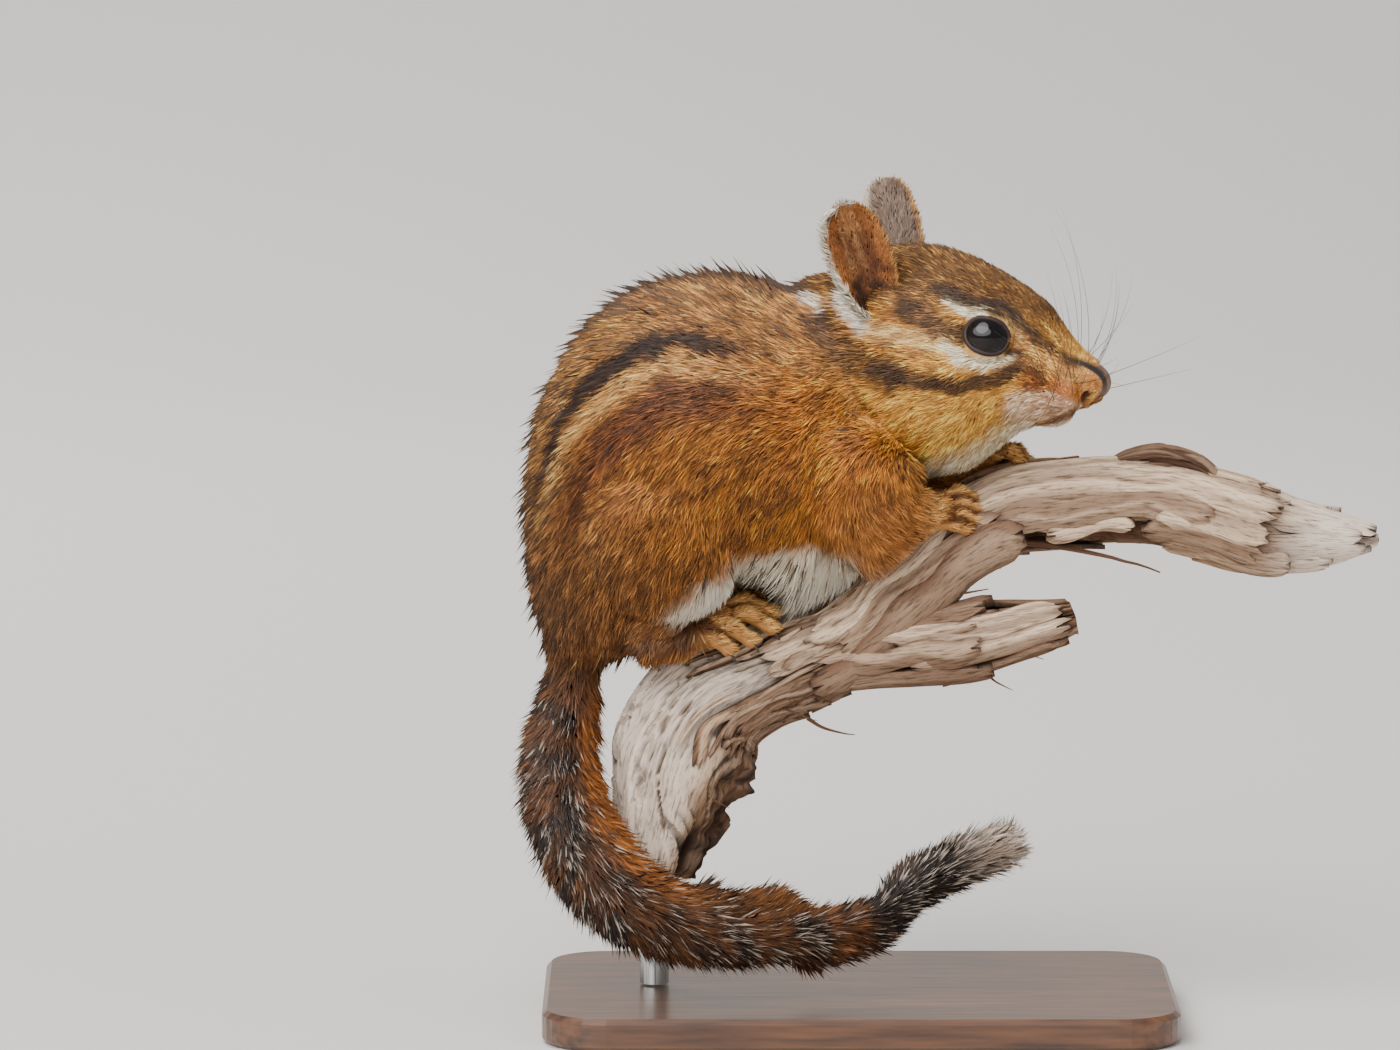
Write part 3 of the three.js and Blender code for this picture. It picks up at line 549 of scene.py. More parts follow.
muzzle = {"pad": (32.2, 2.5, -4.9), "padSize": (4.0, 2.8, 3.0), "chin": (29.5, 0, -8.4),
          "chinSize": (3.6, 2.6, 2.0)}
shapes = [tube(body) for body in bodies.values()]
for hand in (-1, 1):
    padX, padY, padZ = muzzle["pad"]
    shapes.append(moved(ball((padX, hand * padY, padZ), muzzle["padSize"]), fromHead))
shapes.append(moved(ball(muzzle["chin"], muzzle["chinSize"]), fromHead))
skin, skinQuads = fuse("skin_draft", shapes, 0.55, 5)


# Each point moves to the mean of its neighbours along the edges, times a share given for each point
def easeSkin(points, quads, share, rounds):
    ends = np.concatenate([quads, np.roll(quads, 1, 1)]).ravel()
    others = np.concatenate([np.roll(quads, 1, 1), quads]).ravel()
    number = np.bincount(ends, minlength=len(points))[:, None]
    for _ in range(rounds):
        mean = np.stack([np.bincount(ends, points[others, k], len(points)) for k in range(3)], -1) / number
        points = points + (mean - points) * share[:, None]
    return points


skin = easeSkin(skin, skinQuads, 0.6 * (1 - smooth(2, 12, toHead(skin)[:, 0])), 22)
# The belly rises over the hind feet, and the snout draws in under its fine tip
above = smooth(-29, -24, skin[:, 0]) * smooth(-9, -14, skin[:, 0]) * smooth(74, 63, skin[:, 2]) * 4.6
above = above - 3.4 * smooth(-12, -8, skin[:, 0]) * smooth(8, 1, skin[:, 0]) * smooth(80, 73, skin[:, 2])
skin[:, 2] += above * smooth(17, 12, np.abs(skin[:, 1]))
snout = toHead(skin)
within = smooth(34, 35.4, snout[:, 0])[:, None]
snout = snout + (np.array([33.5, 0, -3.4]) - snout) * within * [0.45, 0.3, 0.3]
skin = np.where(within > 0, fromHead(snout), skin)
print("skin", len(skin), "points")


# Each point's place on a body: the share of its length, the angle round it in degrees from the
# animal's left over its top, and how far it is outside the outline
def locate(points, body, count=121):
    ring = framesAt(body, np.linspace(0, 1, count))
    across = np.cross(ring["side"], ring["up"])
    pull = 0.05 if "ups" in body else 0.6
    t, angle, outside = (np.empty(len(points)) for _ in range(3))
    for block in np.array_split(np.arange(len(points)), max(1, len(points) // 8000)):
        away = points[block][:, None] - ring["at"]
        ahead = dot(away, across)
        best = np.argmin(np.abs(ahead) + pull * np.linalg.norm(away, axis=2), axis=1)
        away = away[np.arange(len(block)), best]
        beyond = ahead[np.arange(len(block)), best]
        size = ring["size"][best]
        upwards = dot(away, ring["up"][best])
        tall = np.where(upwards > 0, size[:, 1], size[:, 2])
        sideShare, upShare = dot(away, ring["side"][best]) / size[:, 0], upwards / tall
        radius = np.hypot(sideShare, upShare)
        t[block] = best / (count - 1)
        angle[block] = np.degrees(np.arctan2(upShare, sideShare))
        outside[block] = np.hypot(np.maximum(radius - 1, 0) * size.mean(1), beyond)
        outside[block] -= np.maximum(1 - radius, 0) * size.mean(1) * 0.3
    return t, angle, outside


# Normals of four-sided faces, and of points as the sum of their faces' normals
def faceNormals(points, quads):
    a, b, c, d = (points[quads[:, k]] for k in range(4))
    return np.cross(c - a, d - b) / 2


def pointNormals(points, quads):
    faces = faceNormals(points, quads)
    total = np.stack([np.bincount(quads.ravel(), np.repeat(faces[:, k], 4), len(points))
                      for k in range(3)], -1)
    return unit(total)


# Colours of the coat
fur = {
    "flank": tint(180, 116, 44), "flankDark": tint(122, 76, 36), "shoulder": tint(200, 130, 44),
    "haunch": tint(146, 98, 52), "rump": tint(128, 88, 54), "tawny": tint(188, 132, 72),
    "black": tint(56, 38, 29), "pale": tint(224, 168, 100), "red": tint(112, 64, 32),
    "belly": tint(240, 228, 208), "crown": tint(134, 94, 46), "browDark": tint(54, 38, 28),
    "cream": tint(244, 226, 190), "creamWarm": tint(226, 180, 116), "cheekDark": tint(64, 44, 30),
    "cheek": tint(226, 164, 76), "throat": tint(212, 192, 158), "muzzle": tint(196, 112, 46),
    "muzzleDark": tint(98, 58, 32), "muzzleTop": tint(214, 152, 84), "pad": tint(218, 176, 146),
    "white": tint(240, 230, 214),
    "mouth": tint(84, 38, 32), "foreleg": tint(172, 112, 54), "paw": tint(226, 166, 98),
    "toeGapShade": tint(104, 64, 36), "tailBlack": tint(34, 25, 20), "frost": tint(236, 216, 196),
    "rust": tint(166, 100, 44), "rust2": tint(176, 100, 36), "tailBrown": tint(112, 72, 42),
    "tickAndCreaseShade": tint(56, 38, 26), "guard": tint(58, 44, 36),
    "underDark": tint(70, 50, 38), "lidEdge": tint(44, 32, 30),
}


def window(x, centre, half, soft):
    return 1 - smooth(half, half + soft, np.abs(x - centre))


# An angle's distance in degrees from the middle of the back
def fromTop(angle):
    return np.abs((angle - 90 + 180) % 360 - 180)


# Torso: bands by the angle d from the middle of the back and the place t from rump (0) to neck (1)
def paintTorso(points, t, d):
    d = d + (lumps(points, 1.6, 3) - 0.5) * 5 + (lumps(points, 6.5, 4) - 0.5) * 3.5
    colour = blendTo(np.tile(fur["flank"], (len(t), 1)), fur["flankDark"], smooth(100, 128, d) * 0.4)
    colour = blendTo(colour, fur["shoulder"], smooth(0.62, 0.85, t) * 0.9)
    colour = blendTo(colour, fur["haunch"], 1 - smooth(0.3, 0.46, t))
    colour = blendTo(colour, fur["rump"], 1 - smooth(0.12, 0.28, t))
    kept = smooth(0.2, 0.36, t) * (1 - smooth(0.6, 0.78, t))
    blackAt, paleAt, redAt = 28.5 + 48 * (t - 0.31), 38.5 + 50 * (t - 0.32), 58 + 15 * (t - 0.34)
    colour = blendTo(colour, fur["tawny"], (1 - smooth(blackAt, blackAt + 8, d)) * smooth(0.15, 0.3, t)
                     * 0.9)
    colour = blendTo(colour, fur["rust2"], smooth(0.5, 0.75, lumps(points, 5, 6)) * window(d, 92, 24, 14)
                     * smooth(0.3, 0.5, t) * 0.4)
    colour = blendTo(colour, fur["flankDark"], smooth(0.55, 0.8, lumps(points, 3.2, 7)) * 0.5)
    colour = blendTo(colour, fur["red"], window(d, redAt, 3.4, 7) * kept * 0.9)
    colour = blendTo(colour, fur["pale"], window(d, paleAt, 2.6, 4) * kept * 0.75)
    colour = blendTo(colour, fur["black"], window(d, blackAt, 2.8, 3.2) * kept)
    nape = smooth(0.3, 0.5, t) * (1 - smooth(0.9, 1.0, t))
    colour = blendTo(colour, fur["black"], window(d, 0, 3 + 7 * smooth(0.5, 0.8, t), 6) * nape * 0.85)
    return blendTo(colour, fur["belly"], bellyShare(t, d))


def bellyShare(t, d):
    edge = 124 + 20 * np.clip(t - 0.4, 0, 0.5)
    return smooth(edge - 5, edge + 5, d) * smooth(0.28, 0.36, t)


# Marks of the face as lines in the side view of the head's frame: points, half width, soft edge, colour
# and strength, painted one over the other
faceMarks = [
    ([(6, -19), (13, -18), (20, -15.4), (26, -11.6)], 1.6, 3.4, "throat", 0.9),
    ([(26.5, 3.0), (29.5, 0.4), (33, -2.2), (35.6, -3.2)], 1.1, 1.6, "muzzleTop", 0.9),
    ([(28.5, -3.2), (31, -4.2), (34.2, -5.2)], 0.9, 1.5, "muzzle", 0.85),
    ([(26.8, 0.6), (27.8, -1.4), (28.4, -3)], 0.7, 1.6, "muzzleDark", 0.6),
    ([(26.6, -6.4), (29.5, -6.6), (32.4, -7.9)], 1.6, 1.5, "pad", 0.85),
    ([(27, -11.6), (31.5, -11)], 0.9, 1.2, "white", 0.7),
    ([(5.4, 5.0), (10.1, 4.2), (13.9, 3.6), (17.2, 2.4)], 0.7, 1.4, "creamWarm", 0.85),
    ([(16.9, 2.6), (18.9, 1.4), (21.3, 0.4), (23.7, 0.4), (25.2, 0.9)], 0.6, 0.7, "cream", 0.95),
    ([(-2.6, 4.8), (0.3, 2.4), (3.3, 0.6), (6.3, -0.6), (9, -1.4)], 1.7, 1.8, "cheekDark", 0.8),
    ([(6.3, -0.5), (10.2, -1.6), (13.9, -2.3), (17.5, -2.6), (21, -2.5), (23.8, -2.1), (26.4, -1.0)],
     0.75, 0.9, "cheekDark", 0.92),
    ([(10.4, 8.4), (13.4, 6.6), (16, 5.4), (18.2, 4.6)], 0.75, 1.2, "browDark", 0.85),
    ([(24.8, 2.1), (26, 1.7), (26.6, 1.4)], 0.2, 0.5, "browDark", 0.85),
    ([(16.6, 9.4), (19, 7.9), (20.9, 7.6), (22.8, 7.2)], 0.45, 0.6, "cream", 1.0),
    ([(22.8, 7.2), (24.6, 6.3), (26, 5.1), (26.6, 3.9)], 0.4, 0.6, "creamWarm", 1.0),
    ([(14.4, 10.9), (16.4, 10.2), (18.3, 9.3), (20.8, 8.9), (23.4, 8.1), (25.6, 6.6)], 0.4, 0.7,
     "browDark", 0.95),
    ([(25.6, 6.6), (27.4, 4.8), (29.2, 2.9), (30.6, 1.8), (33, 0.1), (34.9, -0.9)], 0.3, 0.8,
     "browDark", 0.9),
    ([(0.2, 8.8), (2.2, 6.8), (4.2, 5.2)], 0.4, 1.0, "white", 0.9),
    ([(-5.4, 8.2), (-3, 7.6)], 0.3, 1.3, "white", 0.7),
    ([(-2.6, 5.6), (-1.2, 6.6)], 0.3, 1.0, "cheekDark", 0.8),
    # A thin dark line from behind the cheek down to the throat: painted shade in the crease of the jaw and
    # neck
    ([(1.5, -1.5), (4.6, -6), (7.6, -9.2), (10.3, -12.9)], 0.15, 0.8, "tickAndCreaseShade", 0.6),
    ([(28, -9.8), (30, -9.2), (33, -8.3), (35.2, -7)], 0.15, 0.5, "mouth", 0.7),
]


def addMarks(points, colour, headShare):
    place = toHead(points)
    side = place[:, [0, 2]] + np.column_stack([lumps(points, 1.1, 8), lumps(points, 1.1, 9)]) * 0.7 - 0.35
    for line, half, soft, name, strength in faceMarks:
        away, along = toLine(side, line)
        share = headShare if name in ("throat", "pad", "mouth") else 1
        colour = blendTo(colour, fur[name], (1 - smooth(half, half + soft, away)) * strength * share)
    return colour


def paintHead(points):
    place = toHead(points)
    x, z = place[:, 0], place[:, 2]
    colour = np.tile(fur["cheek"], (len(points), 1))
    colour = blendTo(colour, fur["flank"], window(z, 5.5, 2.5, 3) * (1 - smooth(14, 18, x)) * 0.7)
    return blendTo(colour, fur["crown"], smooth(6, 11, z + 0.35 * np.maximum(x - 18, 0))
                   * (1 - smooth(31, 36, x)))


def paintTail(points, t, angle):
    colour = blendTo(np.tile(fur["tailBlack"], (len(points), 1)), fur["tailBrown"],
                     smooth(0.3, 0.7, lumps(points, 2, 12)) * 0.8)
    colour = blendTo(colour, fur["rump"], 1 - smooth(0.02, 0.14, t))
    colour = blendTo(colour, fur["tailBlack"], window(t, 0.87, 0.06, 0.04))
    inner = window((angle - 100 + 180) % 360 - 180, 0, 26, 30)
    colour = blendTo(colour, fur["rust"], inner * smooth(0.08, 0.2, t) * (1 - smooth(0.42, 0.6, t)) * 0.95)
    colour = blendTo(colour, fur["flankDark"],
                     inner * smooth(0.5, 0.7, t) * (1 - smooth(0.78, 0.88, t)) * 0.8)
    return blendTo(colour, fur["frost"], smooth(0.9, 0.99, t) * 0.45)


# All that the coat needs to know at each point of the skin: its normal, the way its hairs lie, their
# length in millimetres, colour, share of dark hairs, droop, and a place on the flat map
def describeSkin(points, normals):
    names = list(bodies)
    places = {name: locate(points, bodies[name]) for name in names}
    outside = np.stack([places[name][2] for name in names])
    nearest = outside.min(0)
    owner = np.argmin(outside, axis=0)
    sharp, wide = (np.exp(-np.maximum(outside - nearest, 0) / reach) for reach in (1.4, 3.2))
    sharp, wide = sharp / sharp.sum(0), wide / wide.sum(0)
    down, sweep = np.array([0, 0, -1.0]), np.array([-0.74, 0, -0.67])
    lie, colour, coat = np.zeros_like(points), np.zeros_like(points), np.zeros(len(points))
    torsoT, torsoAngle, _ = places["torso"]
    torsoD = fromTop(torsoAngle)
    trunk = paintTorso(points, torsoT, torsoD)
    upperTrunk = paintTorso(points, torsoT, np.minimum(torsoD, 108))
    for k, name in enumerate(names):
        t, angle, _ = places[name]
        ring = framesAt(bodies[name], t)
        if name == "torso":
            way = -ring["ahead"] + down * 0.8 * smooth(45, 110, torsoD)[:, None]
            paint = trunk
        elif name == "head":
            way = -ring["ahead"] + down * 0.35 * smooth(80, 130, fromTop(angle))[:, None]
            paint = paintHead(points)
        elif name == "tail":
            way = ring["ahead"]
            paint = paintTail(points, t, angle)
        elif name.startswith("foreUpper"):
            way = sweep * (1 - t)[:, None] + ring["ahead"] * t[:, None]
            paint = blendTo(upperTrunk, fur["foreleg"], smooth(0.3, 0.9, t))
        elif name.startswith("foreLower"):
            way = ring["ahead"] + sweep * 0.3
            paint = blendTo(np.tile(fur["foreleg"], (len(t), 1)), fur["paw"], smooth(0.5, 1, t) * 0.6)
            paint = blendTo(paint, fur["pad"] * 0.6, smooth(-0.3, -0.8, normals[:, 2]) * 0.6)
        elif name.startswith("hindUpper"):
            way = np.tile([-0.42, 0, -0.9], (len(t), 1))
            paint = trunk
        else:
            way = ring["ahead"]
            paint = blendTo(trunk, fur["rump"], np.full(len(t), 0.7))
        lie += wide[k][:, None] * unit(way)
        colour += sharp[k][:, None] * paint
        coat += sharp[k] * ring["coat"]
    colour = addMarks(points, colour, smooth(0.3, 0.7, sharp[names.index("head")]))
    lie = unit(lie - normals * dot(lie, normals)[:, None])
    pick = np.arange(len(points))
    isTail = (owner == names.index("tail")).astype(float)
    isHead = owner == names.index("head")
    hangs = bellyShare(torsoT, torsoD) * (sharp[names.index("torso")] + sharp[names.index("hindUpperRight")]
                                          + sharp[names.index("hindUpperLeft")])
    onArm = sharp[[k for k, name in enumerate(names) if name.startswith("fore")]].sum(0)
    hangs = np.maximum(hangs, 0.5 * onArm * smooth(0, -0.4, normals[:, 2]))
    headAt = toHead(points)
    crown = smooth(7, 11, headAt[:, 2] + 0.35 * np.maximum(headAt[:, 0] - 18, 0)) * isHead
    dark = np.where(isHead, 0.22 + 0.2 * crown, 0.27) * (1 - smooth(0.25, 0.5, colour.mean(1)))
    onTrunk = (owner == names.index("torso")) | (owner == names.index("hindUpperRight")) | (
        owner == names.index("hindUpperLeft"))
    back = onTrunk * (0.3 + 0.7 * (1 - smooth(25, 55, torsoD))) * (1 - smooth(0.86, 0.95, torsoT))
    return {"normal": normals, "lie": lie, "length": 0.35 + 1.2 * coat * (1 + 0.4 * onArm),
            "coat": coat, "colour": colour, "dark": dark, "tail": isTail,
            "head": isHead * (1 + smooth(23, 29, headAt[:, 0])), "droop": hangs,
            "back": back, "tailT": places["tail"][0], "owner": owner,
            "t": np.array([places[name][0] for name in names])[owner, pick],
            "angle": np.array([places[name][1] for name in names])[owner, pick]}


normals = pointNormals(skin, skinQuads)
traits = describeSkin(skin, normals)
print("coat described")


# The flat map: one band of the square for each body, with the angle across it and the length along it
def mapPlaces(owner, t, angle):
    bands = len(bodies)
    return np.column_stack([0.02 + 0.96 * (angle + 180) / 360, (owner + 0.08 + 0.84 * t) / bands])


# Places of the skin's face corners: each face keeps to one band, and one that straddles the seam of the
# angle is carried past it
def faceMap(traits, quads):
    owner = np.repeat(traits["owner"][quads[:, :1]], 4, 1)
    t, angle = traits["t"][quads], traits["angle"][quads]
    straddles = np.ptp(angle, axis=1) > 180
    angle = np.where(straddles[:, None] & (angle < 0), angle + 360, angle)
    angle = np.minimum(angle, 187)
    return mapPlaces(owner.ravel(), t.ravel(), angle.ravel())


# Roots spread over the faces of a skin, as many to the square millimetre as density says at each point
def spreadRoots(points, quads, traits, density, keep):
    area = np.linalg.norm(faceNormals(points, quads), axis=1)
    wanted = area * density[quads].mean(1) * keep[quads].mean(1)
    count = np.floor(wanted + draw.random(len(quads))).astype(int)
    face = np.repeat(np.arange(len(quads)), count)
    a, b = draw.random((2, len(face)))
    weights = np.stack([(1 - a) * (1 - b), a * (1 - b), a * b, (1 - a) * b], 1)
    corners = quads[face]
    roots = {"at": (points[corners] * weights[..., None]).sum(1)}
    for name, values in traits.items():
        if name not in ("owner", "t", "angle"):
            taken = values[corners] * (weights[..., None] if values.ndim == 2 else weights)
            roots[name] = taken.sum(1)
    roots["normal"], roots["lie"] = unit(roots["normal"]), unit(roots["lie"])
    first = corners[:, 0]
    roots["map"] = mapPlaces(traits["owner"][first], traits["t"][first], traits["angle"][first])
    return roots


# Tufts: each is a closed sliver of four triangles, with a point at the root, two points a third of the
# way up that give its width, and a point at the tip. It leaves the skin at one angle and bends over to
# a lower one, so that the line from root to tip lies under its back.
def growTufts(name, roots, style, shades, slot="coat"):
    count = len(roots["at"])
    normal, lie = roots["normal"], roots["lie"]
    swirl = (lumps(roots["at"], 2.2, 21) - 0.5) * style.get("swirl", 40) + draw.normal(0, 9, count)
    swirl = np.radians(swirl)[:, None]
    lie = lie * np.cos(swirl) + np.cross(normal, lie) * np.sin(swirl)
    side = np.cross(normal, lie)
    roll = draw.normal(0, 0.4, count)[:, None]
    flat = side * np.cos(roll) + normal * np.sin(roll)
    length = (roots["length"] * (0.72 + 0.5 * draw.random(count)))[:, None]
    clump = (lumps(roots["at"], 1.5, 22) - 0.5) * 14 + locksAt(roots, 0.42, 31) * 26
    clump = clump * (1 - 0.75 * np.clip(roots["droop"], 0, 1))
    start = np.radians(style["lift"] + draw.normal(0, 6, count))[:, None]
    end = np.radians(style["bend"] + draw.normal(0, style.get("mess", 6), count) + clump)[:, None]
    base = roots["at"] - normal * 0.12
    middle = base + length * 0.36 * (np.cos(start) * lie + np.sin(start) * normal)
    way = np.cos(end) * lie + np.sin(end) * normal
    way[:, 2] -= roots["droop"] * style.get("droop", 0)
    tip = middle + length * 0.64 * unit(way)
    half = (np.broadcast_to(style["width"], count) * (0.8 + 0.4 * draw.random(count)))[:, None] / 2
    points = np.stack([base, middle + flat * half, middle - flat * half, tip], 1)
    faces = np.array([(0, 2, 1), (1, 2, 3), (0, 1, 3), (0, 3, 2)])
    triangles = (faces[None] + 4 * np.arange(count)[:, None, None]).reshape(-1, 3)
    piece = meshFrom(name, points.reshape(-1, 3), triangles=triangles)
    root, middleShade, tipShade = shades
    addColours(piece.data, "coatColour",
               np.stack([root, middleShade, middleShade, tipShade], 1).reshape(-1, 3))
    spread = np.array([(0, -1), (1, 0), (-1, 0), (0, 1)]) * 0.0015
    places = (roots["map"][:, None] + spread).reshape(-1, 2)
    addPlaces(piece.data, "OFBake", places[triangles.ravel()])
    soft = np.stack([normal, normal + 0.7 * flat, normal - 0.7 * flat, normal + 0.3 * lie], 1)
    piece.data.normals_split_custom_set_from_vertices(unit(soft).reshape(-1, 3))
    return fit(piece, coatPaint, slot)


coatPaint = newMaterial("coatPaint", {"Roughness": 0.58, "Specular IOR Level": 0.22})
paintWith(coatPaint, {"Base Color": inkOf(coatPaint, "coatColour")})


# Locks of hair: noise that is averaged along the lie, from -0.5 to 0.5
def locksAt(roots, size, seed):
    steps = np.linspace(-0.7, 0.7, 5)
    return sum(lumps(roots["at"] + roots["lie"] * step, size, seed) for step in steps) / len(steps) - 0.5


# Colours of the tufts at root, middle and tip: banded hairs whose tips run from dark to golden, in
# narrow locks and wider clumps, with a share of dark ones
def shadeTufts(roots, contrast=1.0):
    count = len(roots["at"])
    contrast = contrast * (1 + 0.3 * roots.get("head", 0))
    clump = locksAt(roots, 0.42, 31) * 3.0 + (lumps(roots["at"], 1.6, 32) - 0.5) * 0.8
    bright = np.exp(contrast * (clump + draw.normal(0, 0.42, count)))[:, None]
    tip = roots["colour"] * bright * 1.15
    light = smooth(0.3, 0.5, roots["colour"].mean(1))[:, None]
    warm = roots["colour"] * (np.array([1.0, 0.86, 0.72]) * (1 - light)
                              + np.array([1.0, 0.96, 0.9]) * light)
    middle = warm * (0.46 + 0.3 * bright + 0.18 * light)
    dark = draw.random(count) < roots["dark"] * contrast
    tip[dark] = fur["tickAndCreaseShade"] * (0.7 + 0.5 * draw.random((dark.sum(), 1)))
    root = warm * (0.3 + 0.45 * light) + fur["underDark"] * 0.35 * (1 - light)
    return [np.clip(shade, 0, 1) for shade in (root, middle, tip)]


def portion(roots, chosen):
    return {name: values[chosen] for name, values in roots.items()}


piece = meshFrom("chipmunk_skin", skin, skinQuads)
addColours(piece.data, "coatColour",
           traits["colour"] * (0.5 + 0.5 * smooth(0.4, 0.7, traits["droop"]))[:, None])
addPlaces(piece.data, "OFBake", faceMap(traits, skinQuads))
fit(piece, coatPaint, "coat", "torso", "neck", "head", "foreleg_right", "foreleg_left", "hindleg_right",
    "hindleg_left", "tail_root", "tail_upper", "tail_bend", "tail_lower", "tail_tip")

# The coat stops round the eyes and at the nose, and is short by the toes and towards the nose
eyes = {"spots": ((21.4, -7.6, 4), (21.4, 7.6, 4)), "radius": 3.7, "bare": 4.1}
noseFrom = 34.8
headPlaces = toHead(skin)
fromEye = np.min([np.linalg.norm(headPlaces - spot, axis=1) for spot in eyes["spots"]], axis=0)
toesAt = np.vstack([feet["hindfoot_right"]["toes"], feet["hindfoot_left"]["toes"]]).reshape(-1, 3)
fromToes = np.min([np.linalg.norm(skin - toe, axis=1) for toe in toesAt], axis=0)
traits["length"] *= (0.3 + 0.7 * smooth(3, 7, fromToes)) * (0.5 + 0.5 * smooth(34.2, 30, headPlaces[:, 0]))
keep = ((fromEye > eyes["bare"]) & (headPlaces[:, 0] < noseFrom)).astype(float)
coatStyle = {"tail": 21, "guard": 0.75, "belly": 18, "thin": 0.125, "mostInPiece": 195000}
density = np.clip(38.5 - 7.6 * traits["coat"], 17.5, 36)
density = np.where(traits["tail"] > 0.5, coatStyle["tail"], density)
roots = spreadRoots(skin, skinQuads, traits, density, keep)
order = draw.permutation(len(roots["at"]))
roots = portion(roots, order)
isTail = roots["tail"] > 0.5

bodyRoots = portion(roots, ~isTail)
chunks = np.array_split(np.arange(len(bodyRoots["at"])),
                        math.ceil(len(bodyRoots["at"]) * 4 / coatStyle["mostInPiece"]))
for k, chunk in enumerate(chunks):
    part = portion(bodyRoots, chunk)
    shades = shadeTufts(part, 1 - 0.75 * part["droop"])
    style = {"width": coatStyle["thin"] + 0.025 * part["coat"],
             "lift": 30 + 9 * np.minimum(part["coat"], 2.6),
             "bend": 10 + 6.5 * np.minimum(part["coat"], 2.8), "droop": 0.5, "mess": 8}
    growTufts(f"body_coat_{k + 1}", part, style, shades)

# Long dark guard hairs that stand out over the back and rump
guardRoots = spreadRoots(skin, skinQuads, traits,
                         coatStyle["guard"] * traits["back"] * (1 - traits["droop"]), keep)
guardRoots["length"] = guardRoots["length"] * 1.6
bare = blendTo(guardRoots["colour"] * 0.4, fur["guard"], draw.random(len(guardRoots["at"])))
growTufts("guard_coat", guardRoots, {"width": 0.055, "lift": 50, "bend": 30, "mess": 9},
          [bare, bare, bare * 0.8])

# White hair that hangs from the belly
hanging = (coatStyle["belly"] * smooth(0.5, 0.7, traits["droop"]) * smooth(0.4, 0, normals[:, 2])
           * smooth(3.5, 9, fromToes))
fringeRoots = spreadRoots(skin, skinQuads, traits, hanging, keep)
fringeRoots["length"] = fringeRoots["length"] * (1.2 + 0.7 * smooth(-18, -10, fringeRoots["at"][:, 0]))
fringeRoots["dark"] = fringeRoots["dark"] * 0
shades = shadeTufts(fringeRoots, 0.3)
growTufts("belly_coat", fringeRoots, {"width": 0.11, "lift": 26, "bend": 9, "droop": 0.45, "mess": 9},
          shades)

# The tail's coat: rust along its inner side, with pale tips that grow longer and paler towards its end
tailRoots = portion(roots, isTail)
root, middle, tip = shadeTufts(tailRoots, 0.8)
isRust = tailRoots["colour"][:, 0] > 2.6 * tailRoots["colour"][:, 2] + 0.06
atEnd = smooth(0.88, 0.99, tailRoots["tailT"])
frosted = draw.random(len(tip)) < ((0.17 + 0.65 * atEnd) * smooth(0.1, 0.2, tailRoots["tailT"])
                                   * (1 - 0.85 * isRust))
tip[frosted] = fur["frost"] * (0.6 + 0.4 * draw.random((frosted.sum(), 1)))
middle[frosted] = middle[frosted] * 0.7
tailRoots["length"] = tailRoots["length"] * (1 + 1.1 * atEnd)
tailStyle = {"width": 0.17 - 0.08 * atEnd, "lift": 50 - 24 * atEnd, "bend": 26 - 17 * atEnd, "mess": 13,
             "swirl": 46}
growTufts("tail_coat_1", tailRoots, tailStyle, [root, middle, tip], "tail_coat")
print("tufts:", len(roots["at"]), "in", len(chunks) + 3, "pieces;", len(guardRoots["at"]), "guard hairs,",
      len(fringeRoots["at"]), "in the fringe,", len(tip), "on the tail")

# Eyes: a fine glossy ball in each socket
eyePaint = newMaterial("wetEye", {"Roughness": 0.08, "Specular IOR Level": 0.25, "Coat Weight": 0.1,
                                  "Coat Roughness": 0.02})
place = addNode(eyePaint, "TexCoord", {}).outputs["Object"]
cloud = noiseAt(eyePaint, place, Scale=260)
iris = rampOf(eyePaint, cloud, (0.4, (0.003, 0.002, 0.002)), (0.75, (0.012, 0.007, 0.005)))
paintWith(eyePaint, {"Base Color": iris})
for name, spot in zip(("right", "left"), eyes["spots"]):
    piece = meshFrom(f"eyeball_{name}", *moved(ball(spot, [eyes["radius"]] * 3, 40, 56), fromHead))
    fit(piece, eyePaint, "eye", f"eye_{name}")


# Bare skin: a warm dark leather, with pores from noise, and shaded by a colour attribute where one is named
def leather(name, colour, rough, shade=None):
    paint = newMaterial(name, {"Roughness": rough})
    place = addNode(paint, "TexCoord", {}).outputs["Object"]
    pores = addNode(paint, "TexVoronoi", {"Vector": place, "Scale": 3200}).outputs["Distance"]
    blotches = rampOf(paint, noiseAt(paint, place, Scale=700), (0.3, colour * 0.5), (0.7, colour))
    if shade:
        blotches = multiplied(paint, 1, blotches, inkOf(paint, shade))
    paintWith(paint, {"Base Color": blotches, "Normal": bumpOf(paint, pores, 0.35, 0.0001)})
    return paint


# Eyelids: one soft band round an almond opening. Each point is set by the angle phi round the way that
# the eye looks, the angle away from it, edge(phi) + step, and the distance from the eye's centre.
lids = {
    "high": 41, "wide": 60, "tilt": 16, "around": 120, "across": 30, "density": 44.0,
    "profile": [(-4, 3.5), (-3, 3.72), (-1.5, 3.9), (1, 4.0), (4, 3.98), (7, 3.96), (12, 4.08), (20, 4.16),
                (30, 4.1), (38, 3.9), (30, 3.5), (14, 3.4), (0, 3.4)],
}


def eyeWays(hand):
    ahead = unit(np.array([0.22, hand * 0.95, 0.2]))
    tilt = math.radians(lids["tilt"])
    forward = np.array([math.cos(tilt), 0, -math.sin(tilt)])
    forward = unit(forward - ahead * dot(forward, ahead))
    return ahead, forward, np.cross(forward, ahead) * hand


